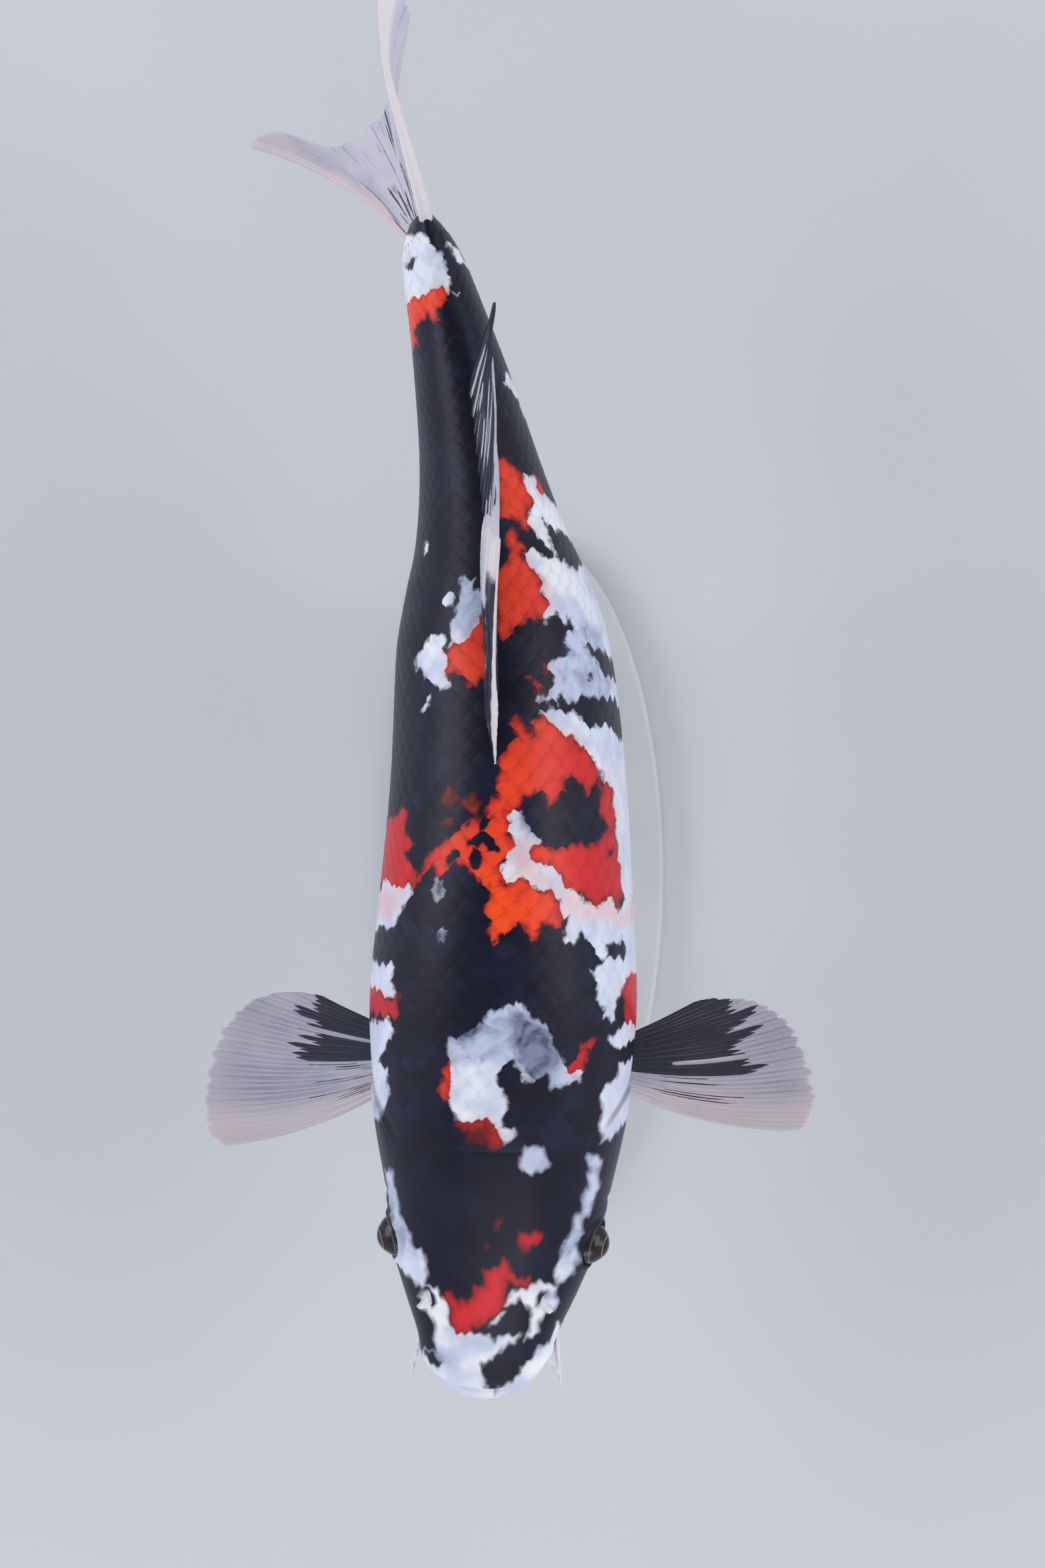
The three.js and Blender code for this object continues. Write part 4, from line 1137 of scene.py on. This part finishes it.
def dorsal_thickness(u, v):
    """The front spine grows from a point where it leaves the back; the leaf behind is thin."""
    leaf = lerp(lerp(3.2, 2.4, u), 0.6, smooth(v / 0.6))
    return lerp(spine_thickness(v), leaf, smooth((u - 0.03) / 0.08))


def tail_thickness(u, v):
    edge = smooth((np.abs(2 * u - 1) - 0.78) / 0.22)
    return lerp(lerp(2.2, 5.2, edge), lerp(0.6, 0.9, edge), smooth(v / lerp(0.5, 1, edge)))


def pectoral_thickness(u, v):
    return lerp(lerp(4.2, 2.4, u), 0.6, smooth(v / 0.7))


def thin_out(root):
    return lambda u, v: lerp(root, 0.6, smooth(v / 0.35))


def ray_pattern(u, v, rays):
    """How much of a fin ray lies at a place: each ray splits in two, then in four."""
    place = u * rays
    offset = np.abs((place % 1) - 0.5) * 2  # 0 on a ray's middle, 1 halfway to the next
    branch = np.abs(offset - 0.42 * smooth((v - 0.3) / 0.25))
    twig = np.abs(branch - 0.2 * smooth((v - 0.62) / 0.25))
    joints = 0.88 + 0.12 * np.cos(v * 150 + np.floor(place) * 2.1)
    return bump(twig, lerp(0.3, 0.16, smooth(v * 1.3))) * joints


FIN_WHITE = color(0.62, 0.6, 0.68)
FIN_LILAC = color(0.42, 0.42, 0.54)
FIN_CREAM = color(0.8, 0.75, 0.77)
FIN_FRAY = 0.02  # how far the free edge is nicked, as a share of the length
FIN_EDGE = 0.14  # least half thickness
RAY_RELIEF = 0.175


def fin_material():
    """Pale translucent membrane, paler rays, and black that runs out along the rays."""
    paint = new_paint("koi_fin")
    mix, times, ramp = paint.mix, paint.times, paint.ramp
    streak = paint.noise(160, detail=3)
    broad = paint.noise(45)
    membrane = mix(ramp(broad, 0.35, 0.65), FIN_LILAC, FIN_WHITE)
    pale = mix(ramp(paint.attribute("ray"), 0.15, 0.9), membrane, FIN_WHITE)
    pale = mix(paint.attribute("flesh"), pale, FIN_CREAM)
    pale = mix(times(paint.attribute("blush"), ramp(broad, 0.2, 0.7)), pale, PINK_SKIN)
    dark = paint.plus(paint.attribute("dark"), times(paint.plus(streak, -0.5), 0.35))
    base = mix(ramp(dark, 0.42, 0.58), pale, SUMI_LIGHT)
    paint.bump(paint.noise(700, detail=3), 0.15, 0.0002)
    return paint.finish(base, 0.42, ior=1.38, coat=(0.15, 0.25), subsurface=0.08, alpha=0.82)


fin_paint = fin_material()


def at_rays(u, values):
    """The value of the ray at each place, one value for each ray."""
    return values[np.clip((u * len(values)).astype(int), 0, len(values) - 1)]


def streaks(u, v, rays, seed, low, high, longest=0.25):
    """Dashes along some of the rays, tapering out, between two parts of their length."""
    rng = np.random.default_rng(seed)
    start = rng.uniform(low, high, rays)
    long = rng.uniform(0.05, longest, rays)
    drawn = rng.uniform(0, 1, rays) > 0.4
    along = (v - at_rays(u, start)) / at_rays(u, long)
    taper = np.sqrt(np.clip(1 - (2 * along - 1) ** 2, 0, 1))
    near = smooth((0.3 * taper - np.abs((u * rays) % 1 - 0.5)) / 0.12 + 0.5)
    return near * (taper > 0) * at_rays(u, drawn)


def dorsal_markings(u, v):
    """A white spine, then black with pale lines along the rays and a pale upper front. One face of the
    spine is darkened as painted shade.
    """
    ends = at_rays(u, np.random.default_rng(17).uniform(-0.05, 0.05, 38))
    front = smooth((0.04 - u) / 0.012)
    pale_leaf = smooth((v - 0.6 - 0.5 * u + ends) / 0.07) * smooth((0.75 - u) / 0.1)
    rear_lines = smooth((u - 0.7) / 0.06) * streaks(u, v, 38, 21, 0.1, 0.4, 0.6)
    thin_lines = 0.8 * streaks(u, v, 38, 3, 0.05, 0.45, 0.7)
    dark = (1 - front) * (1 - 0.85 * pale_leaf) * (1 - np.maximum(thin_lines, rear_lines))
    # Painted shade: one face of the front spine is darkened, and the other stays white.
    shaded = np.maximum(dark, 0.62 * front * smooth((0.97 - v) / 0.2) * smooth(v / 0.1))
    return {"flesh": front * 0.9, "dark": (dark, shaded), "blush": 0}


def tail_markings(u, v):
    """A broad white band along the upper edge, a fainter one below, grey streaks at the root."""
    upper = smooth((0.13 - u) / 0.04)
    lower = smooth((u - 0.93) / 0.04)
    smoke = 0.42 * bump(u - 0.55, 0.14) * smooth((0.8 - v) / 0.3)
    long_streak = 0.58 * bump(u - 0.8 + 0.06 * v, 0.03) * smooth(v / 0.2) * smooth((0.75 - v) / 0.2)
    lines = 0.62 * streaks(u, v, 38, 5, 0.0, 0.25, 0.4)
    tips = 0.75 * streaks(u, v, 57, 6, 0.5, 0.75, 0.35) * bump(u - 0.42, 0.14)
    dark = np.max([smoke, long_streak, lines, tips], 0) * (1 - upper) * (1 - lower)
    return {"flesh": np.maximum(upper, 0.5 * lower), "dark": dark,
            "blush": 0.35 * smooth((u - 0.75) * 4)}


def pectoral_markings(side):
    """Black from the root along the rear rays, cut by one pale ray; a pale leading band."""
    front, reach, pale_ray, gap_start = (0.36, 60, 0.5, 0.34) if side > 0 else (0.48, 46, 0.74, 0.1)

    def at(u, v):
        rays = 32
        ends = at_rays(u, np.random.default_rng(31 + side).uniform(-0.1, 0.08, rays))
        point = 0.1 * np.abs((u * rays) % 1 - 0.5)
        end = reach / (pectoral_length(u) + PECTORAL_EMBEDDED) + ends - point
        block = smooth((end - v) / 0.05) * smooth((u - front) / 0.03)
        gap = bump(u - pale_ray, 0.022) * smooth((v - gap_start) / 0.05)
        dashes = streaks(u, v, 44, 9 + side, 0.05, 0.3, 0.5) * (u > 0.12) * (u < front + 0.05)
        return {"flesh": 0.85 * smooth((0.3 - u) / 0.2), "blush": 0.16 * smooth((0.4 - u) * 3),
                "dark": np.maximum(block * (1 - gap), 0.6 * dashes)}

    return at


def plain_markings(u, v):
    """The lower fins: pale, with a firmer front edge and a few dark dashes."""
    dark = 0.7 * streaks(u, v, 24, 11, 0.0, 0.4, 0.4)
    return {"flesh": smooth((0.1 - u) / 0.06), "dark": dark, "blush": 0.3 * smooth(0.6 - v)}


def make_fin(node, point, thickness, rays, markings, seed, span, size):
    """A closed thin blade with raised rays. The span is the run of u that it covers, the
    size its grid, and a marking is a pair where the two faces differ."""
    u, v = np.meshgrid(np.linspace(*span, size[0]), np.linspace(0, 1, size[1]), indexing="ij")
    nicks = np.random.default_rng(seed).uniform(-1, 1, rays * 3 + 2)
    nick = np.interp(u * rays * 3, np.arange(len(nicks)), nicks)
    ray = ray_pattern(u, v, rays)
    middle = point(u, v * (1 - FIN_FRAY * smooth((v - 0.5) * 2) * (1.2 - ray + 0.8 * nick)))
    normal = blade_normal(middle)
    ripple = np.sin(u * 17 + seed) * np.sin(v * 5 + seed) * 0.5 * smooth(v * 1.5)
    half = thickness(u, v) * 0.5 * lerp(0.62, 1.0, ray)
    half = half + RAY_RELIEF * (ray - 0.5) * smooth(v * 6 + 0.3)
    half = np.maximum(half, FIN_EDGE) * smooth((1 - v) * 22 + 0.25)
    shape = closed_blade(middle + normal * ripple[..., None], normal, half)
    values = {}
    for key, data in {"ray": ray, **markings(u, v)}.items():
        faces = data if isinstance(data, tuple) else (data, data)
        values[key] = np.concatenate([np.ravel(face + 0 * u) for face in faces])
    uv = np.stack([v * 0.98 + 0.01, u * 0.46 + 0.02], -1).reshape(-1, 2)
    uv = np.concatenate([uv, uv + (0, 0.5)])
    make_piece(f"koi_{node}", shape, fin_paint, (node,), values, uv)


def build_fins():
    make_fin("dorsal_fin", dorsal_point, dorsal_thickness, 19, dorsal_markings, 1, (0, 1), (229, 60))
    for name, span in (("upper", (0, 0.497)), ("lower", (0.503, 1))):
        make_fin(f"caudal_fin_{name}", tail_point, tail_thickness, 19, tail_markings, 2, span,
                 (134, 80))
    make_fin("anal_fin", anal_point, thin_out(2.8), 8, plain_markings, 4, (0, 1), (97, 46))
    for name, side in SIDES:
        make_fin(f"pectoral_fin_{name}", pectoral_point(side), pectoral_thickness, 16,
                 pectoral_markings(side), 5 + side, (0, 1), (193, 64))
        make_fin(f"pelvic_fin_{name}", pelvic_point(side), thin_out(2.6), 9, plain_markings,
                 8 + side, (0, 1), (109, 46))


build_fins()

# ------------ eyes

def eye_material():
    """Pupil, a thin pale ring, a dark mottled iris, and a pale rim to the eyeball's dark edge.
    The borders are angles from the line of sight, in degrees."""
    paint = new_paint("koi_eye")
    mix, ramp = paint.mix, paint.ramp
    polar = paint.attribute("polar")
    flecks = paint.noise(1100, detail=3)
    moved = paint.plus(polar, paint.times(paint.plus(flecks, -0.5), 4.0))
    iris = mix(ramp(flecks, 0.45, 0.75), color(0.008, 0.004, 0.006), color(0.028, 0.015, 0.014))
    base = mix(ramp(polar, 27, 28), color(0.002, 0.002, 0.003), color(0.3, 0.22, 0.13))
    base = mix(ramp(moved, 29, 31.5), base, iris)
    base = mix(ramp(moved, 61, 64), base, color(0.09, 0.085, 0.1))
    base = mix(ramp(moved, 65, 69), base, color(0.02, 0.015, 0.02))
    return paint.finish(base, 0.2, ior=1.34, coat=(0.22, 0.1))


EYE_RINGS = 48
EYE_SIDES = 72
GAZE_TURN = 104 * DEG  # from straight back
GAZE_RISE = 10 * DEG


def build_eyes():
    eye_paint = eye_material()
    polar = np.linspace(0.5, 179.5, EYE_RINGS)  # degrees from the line of sight
    polar, turn = np.meshgrid(polar, full_turn(EYE_SIDES), indexing="ij")
    cornea = 0.35 * bump(polar, 34) - 0.12 * bump(polar - 40, 7)
    values = {"polar": np.concatenate([polar.ravel(), [0, 180]])}
    uv = np.stack([turn / (2 * math.pi), polar / 180], -1).reshape(-1, 2) * 0.98
    uv = np.concatenate([uv, [[0.5, 0], [0.5, 0.99]]])
    p, q = polar[..., None] * DEG, turn[..., None]
    for name, side in SIDES:
        centre = eye_centre(side)
        gaze = direction(side * GAZE_TURN, GAZE_RISE)
        across = unit(np.cross(gaze, (0, 0, 1)))
        up = np.cross(across, gaze)
        way = np.cos(p) * gaze + np.sin(p) * (np.cos(q) * across + np.sin(q) * up)
        rings = centre + way * (EYEBALL_RADIUS - 0.1 + cornea)[..., None]
        front, back = centre + gaze * (EYEBALL_RADIUS + 0.25), centre - gaze * EYEBALL_RADIUS
        make_piece(f"koi_eye_{name}", capped_rings(rings, front, back), eye_paint,
                   (f"eye_{name}",), values, uv)


build_eyes()

# ------------ feelers, nostril flaps

def feeler_material(name, pale, spotted):
    paint = new_paint(name)
    base = paint.mix(paint.ramp(paint.noise(500, detail=3), 0.45, 0.8), pale, spotted)
    return paint.finish(base, 0.35, ior=1.38, coat=(0.3, 0.2), subsurface=0.15)


# The feelers: share, across, up, length, turn outward, droop in degrees, radius at the root.
FEELERS = {
    "corner": (0.052, 23.2, -22, 21, 14, 24, 1.5),
    "upper": (0.034, 19.4, -14.4, 11, 62, 18, 1.1),
}
FEELER_TIP = 0.35
NOSTRIL_SHARE = 0.085
NOSTRIL_TURN = 38 * DEG


def build_feelers():
    """Tapered tubes: two pairs, at the corners of the mouth and on the upper lip."""
    paint = feeler_material("koi_feeler", color(0.72, 0.7, 0.76), color(0.5, 0.46, 0.54))
    v = np.linspace(0, 1, 40)
    turn = full_turn(16)[None, :, None]
    for name, side in SIDES:
        for kind, (share, across, up, length, outward, droop, thick) in FEELERS.items():
            start = beside_spine(share, side * across, up)
            route = along_ray(start[None], np.full(len(v), length), v, lambda t: direction(
                math.pi + HEAD_HEADING - side * outward * DEG * (1 - 0.5 * t),
                lerp(-droop * 0.3, -droop, t) * DEG,
            ))
            radii = lerp(thick, FEELER_TIP, v**0.8) * (1 + 0.04 * np.sin(v * 60))
            along = unit(np.gradient(route, axis=0))
            first = unit(np.cross(along, (0, 0, 1)))
            ring = np.cos(turn) * first[:, None] + np.sin(turn) * np.cross(along, first)[:, None]
            rings = route[:, None] + ring * radii[:, None, None]
            tip = route[-1] + along[-1] * radii[-1] * 0.8
            node = f"barbel_{kind}_{name}"
            make_piece(f"koi_{node}", capped_rings(rings, route[0], tip), paint, (node,))


def build_nostril_flaps():
    """A thin curled leaf of skin that stands between the two openings of each nostril."""
    paint = feeler_material("koi_nostril", color(0.8, 0.8, 0.84), color(0.5, 0.5, 0.6))
    v, u = np.meshgrid(np.linspace(0, 1, 22), np.linspace(-1, 1, 15), indexing="ij")
    share = NOSTRIL_SHARE + (u * 2.3 * (1 - 0.8 * v**1.5)) / LENGTH - 0.004 * v
    half = lerp(0.55, 0.22, v) * np.sqrt(np.maximum(0.05, 1 - u**4))
    for name, side in SIDES:
        root = body_point(share, side * NOSTRIL_TURN + 0 * u, -1)
        stand = direction(side * 115 * DEG, 34 * DEG) * (6.0 * v * (1 - 0.12 * u**2))[..., None]
        cup = direction(side * 25 * DEG, 10 * DEG) * (1.1 * (1 - u**2) * v)[..., None]
        middle = root + stand + cup
        node = f"nostril_flap_{name}"
        shape = closed_blade(middle, blade_normal(middle), half)
        make_piece(f"koi_{node}", shape, paint, (node,))


build_feelers()
build_nostril_flaps()

# ------------ display stand

PLATE_RADII = (50, 128)
ROD_RADIUS = 4.5
ROD_SHARES = {"front": 0.335, "rear": 0.61}
# Outlines of the turned pieces, as rows of (inset from the outer radius, height).
PLATE_PROFILE = [(6, 0), (1.6, 0), (0.5, 0.5), (0, 1.6), (0, 7.4), (0.5, 8.5), (1.6, PLATE_TOP),
                 (6, PLATE_TOP)]
COLLAR_PROFILE = [(-1.4, PLATE_TOP), (-1.4, PLATE_TOP + 1.2), (-1, PLATE_TOP + 1.7),
                  (0, PLATE_TOP + 2), (0, PLATE_TOP + 2.4)]


def plate_material():
    paint = new_paint("stand_plate")
    grain = paint.noise(1400)
    cloud = paint.ramp(paint.noise(12, detail=3), 0.3, 0.7)
    paint.bump(grain, 0.2, 0.0002)
    base = paint.mix(cloud, color(0.5, 0.51, 0.52), color(0.55, 0.56, 0.57))
    return paint.finish(base, paint.blend(grain, 0.42, 0.6), ior=1.45)


def rod_material():
    paint = new_paint("stand_rod")
    brushed = paint.noise(90, detail=4, stretch=(30, 30, 1))
    paint.bump(brushed, 0.1, 0.0001)
    base = paint.mix(brushed, color(0.5, 0.51, 0.53), color(0.66, 0.67, 0.69))
    return paint.finish(base, paint.blend(brushed, 0.22, 0.42), ior=1.5, metallic=1.0)


def make_turned(node, centre, radii, profile, sides, material):
    """A solid of stacked ellipses round an upright axis."""
    turn = full_turn(sides)
    rings = np.array([np.stack([
        centre[0] + (radii[0] - inset) * np.cos(turn),
        centre[1] + (radii[1] - inset) * np.sin(turn),
        np.full(sides, height),
    ], -1) for inset, height in profile])
    shape = capped_rings(rings, rings[0].mean(0), rings[-1].mean(0))
    make_piece(f"koi_{node}", shape, material, (node,))


def build_stand():
    make_turned("stand_base", (0, 0), PLATE_RADII, PLATE_PROFILE, 160, plate_material())
    rod_paint = rod_material()
    radii = (ROD_RADIUS, ROD_RADIUS)
    for place, share in ROD_SHARES.items():
        centre = beside_spine(share, 0, 0)
        profile = COLLAR_PROFILE + [(0, body_point(share, math.pi, -5)[2])]
        make_turned(f"stand_rod_{place}", centre, radii, profile, 56, rod_paint)


build_stand()

# ------------ floor, light and camera

FLOOR_HALF = 1700
FLOOR_HEIGHT = -0.2
LIGHT_AIM = Vector((0, 0.03, 0.12))
# The soft lights: place and size in metres, power in watts, tint.
LIGHTS = {
    "left_window": ((-1.9, 0.4, 1.1), (1.8, 1.4), 22, (0.95, 0.97, 1.0)),
    "right_window": ((1.9, 0.1, 1.1), (1.8, 1.4), 19, (1.0, 0.98, 0.95)),
    "head_window": ((0.2, -2.0, 1.1), (1.6, 1.0), 11, (1.0, 1.0, 1.0)),
}
CAMERA_TARGET = (5.5, 34.0, AXIS_HEIGHT)
CAMERA_DISTANCE = 1600.0
CAMERA_TILT = 4 * DEG  # from straight above, toward the fish's left
CAMERA_LENS = 104.4
SENSOR_WIDTH = 36.0


def build_floor():
    paint = new_paint("floor")
    base = paint.mix(paint.noise(6), color(0.6, 0.62, 0.65), color(0.63, 0.65, 0.68))
    square = ((-1, -1), (1, -1), (1, 1), (-1, 1))
    corners = [(x * FLOOR_HALF, y * FLOOR_HALF, FLOOR_HEIGHT) for x, y in square]
    floor = make_mesh("floor", corners, [(0, 1, 2, 3)], paint.finish(base, 0.75))


def build_light():
    for name, (place, size, power, tint) in LIGHTS.items():
        lamp = bpy.data.lights.new(name, "AREA")
        lamp.shape = "RECTANGLE"
        lamp.size, lamp.size_y = size
        lamp.energy = power
        lamp.color = tint
        holder = bpy.data.objects.new(name, lamp)
        collection.objects.link(holder)
        holder.location = place
        holder.rotation_euler = (LIGHT_AIM - Vector(place)).to_track_quat("-Z", "Y").to_euler()
    sky = Paint(bpy.data.worlds.new("studio"), "Background")
    way = sky.node("ShaderNodeTexCoord", "Generated", {})
    upward = sky.node("ShaderNodeSeparateXYZ", "Z", {"Vector": way})
    # Dimmer above, so that the dark back mirrors little of it.
    strength = sky.node("ShaderNodeMapRange", "Result", {
        "Value": upward, "From Min": 0.45, "From Max": 0.95, "To Min": 0.85, "To Max": 0.3})
    sky.fill(sky.shader, {"Color": color(0.88, 0.92, 1.0), "Strength": strength})
    bpy.context.scene.world = sky.owner
    bpy.context.scene.view_settings.view_transform = "Standard"


def build_camera():
    lens = bpy.data.cameras.new("camera")
    lens.lens = CAMERA_LENS
    lens.sensor_width = SENSOR_WIDTH
    camera = bpy.data.objects.new("camera", lens)
    collection.objects.link(camera)
    away = (math.sin(CAMERA_TILT), 0, math.cos(CAMERA_TILT))
    camera.location = [(t + a * CAMERA_DISTANCE) * MM for t, a in zip(CAMERA_TARGET, away)]
    camera.rotation_euler = (0, CAMERA_TILT, 0)
    bpy.context.scene.camera = camera


build_floor()
build_light()
build_camera()
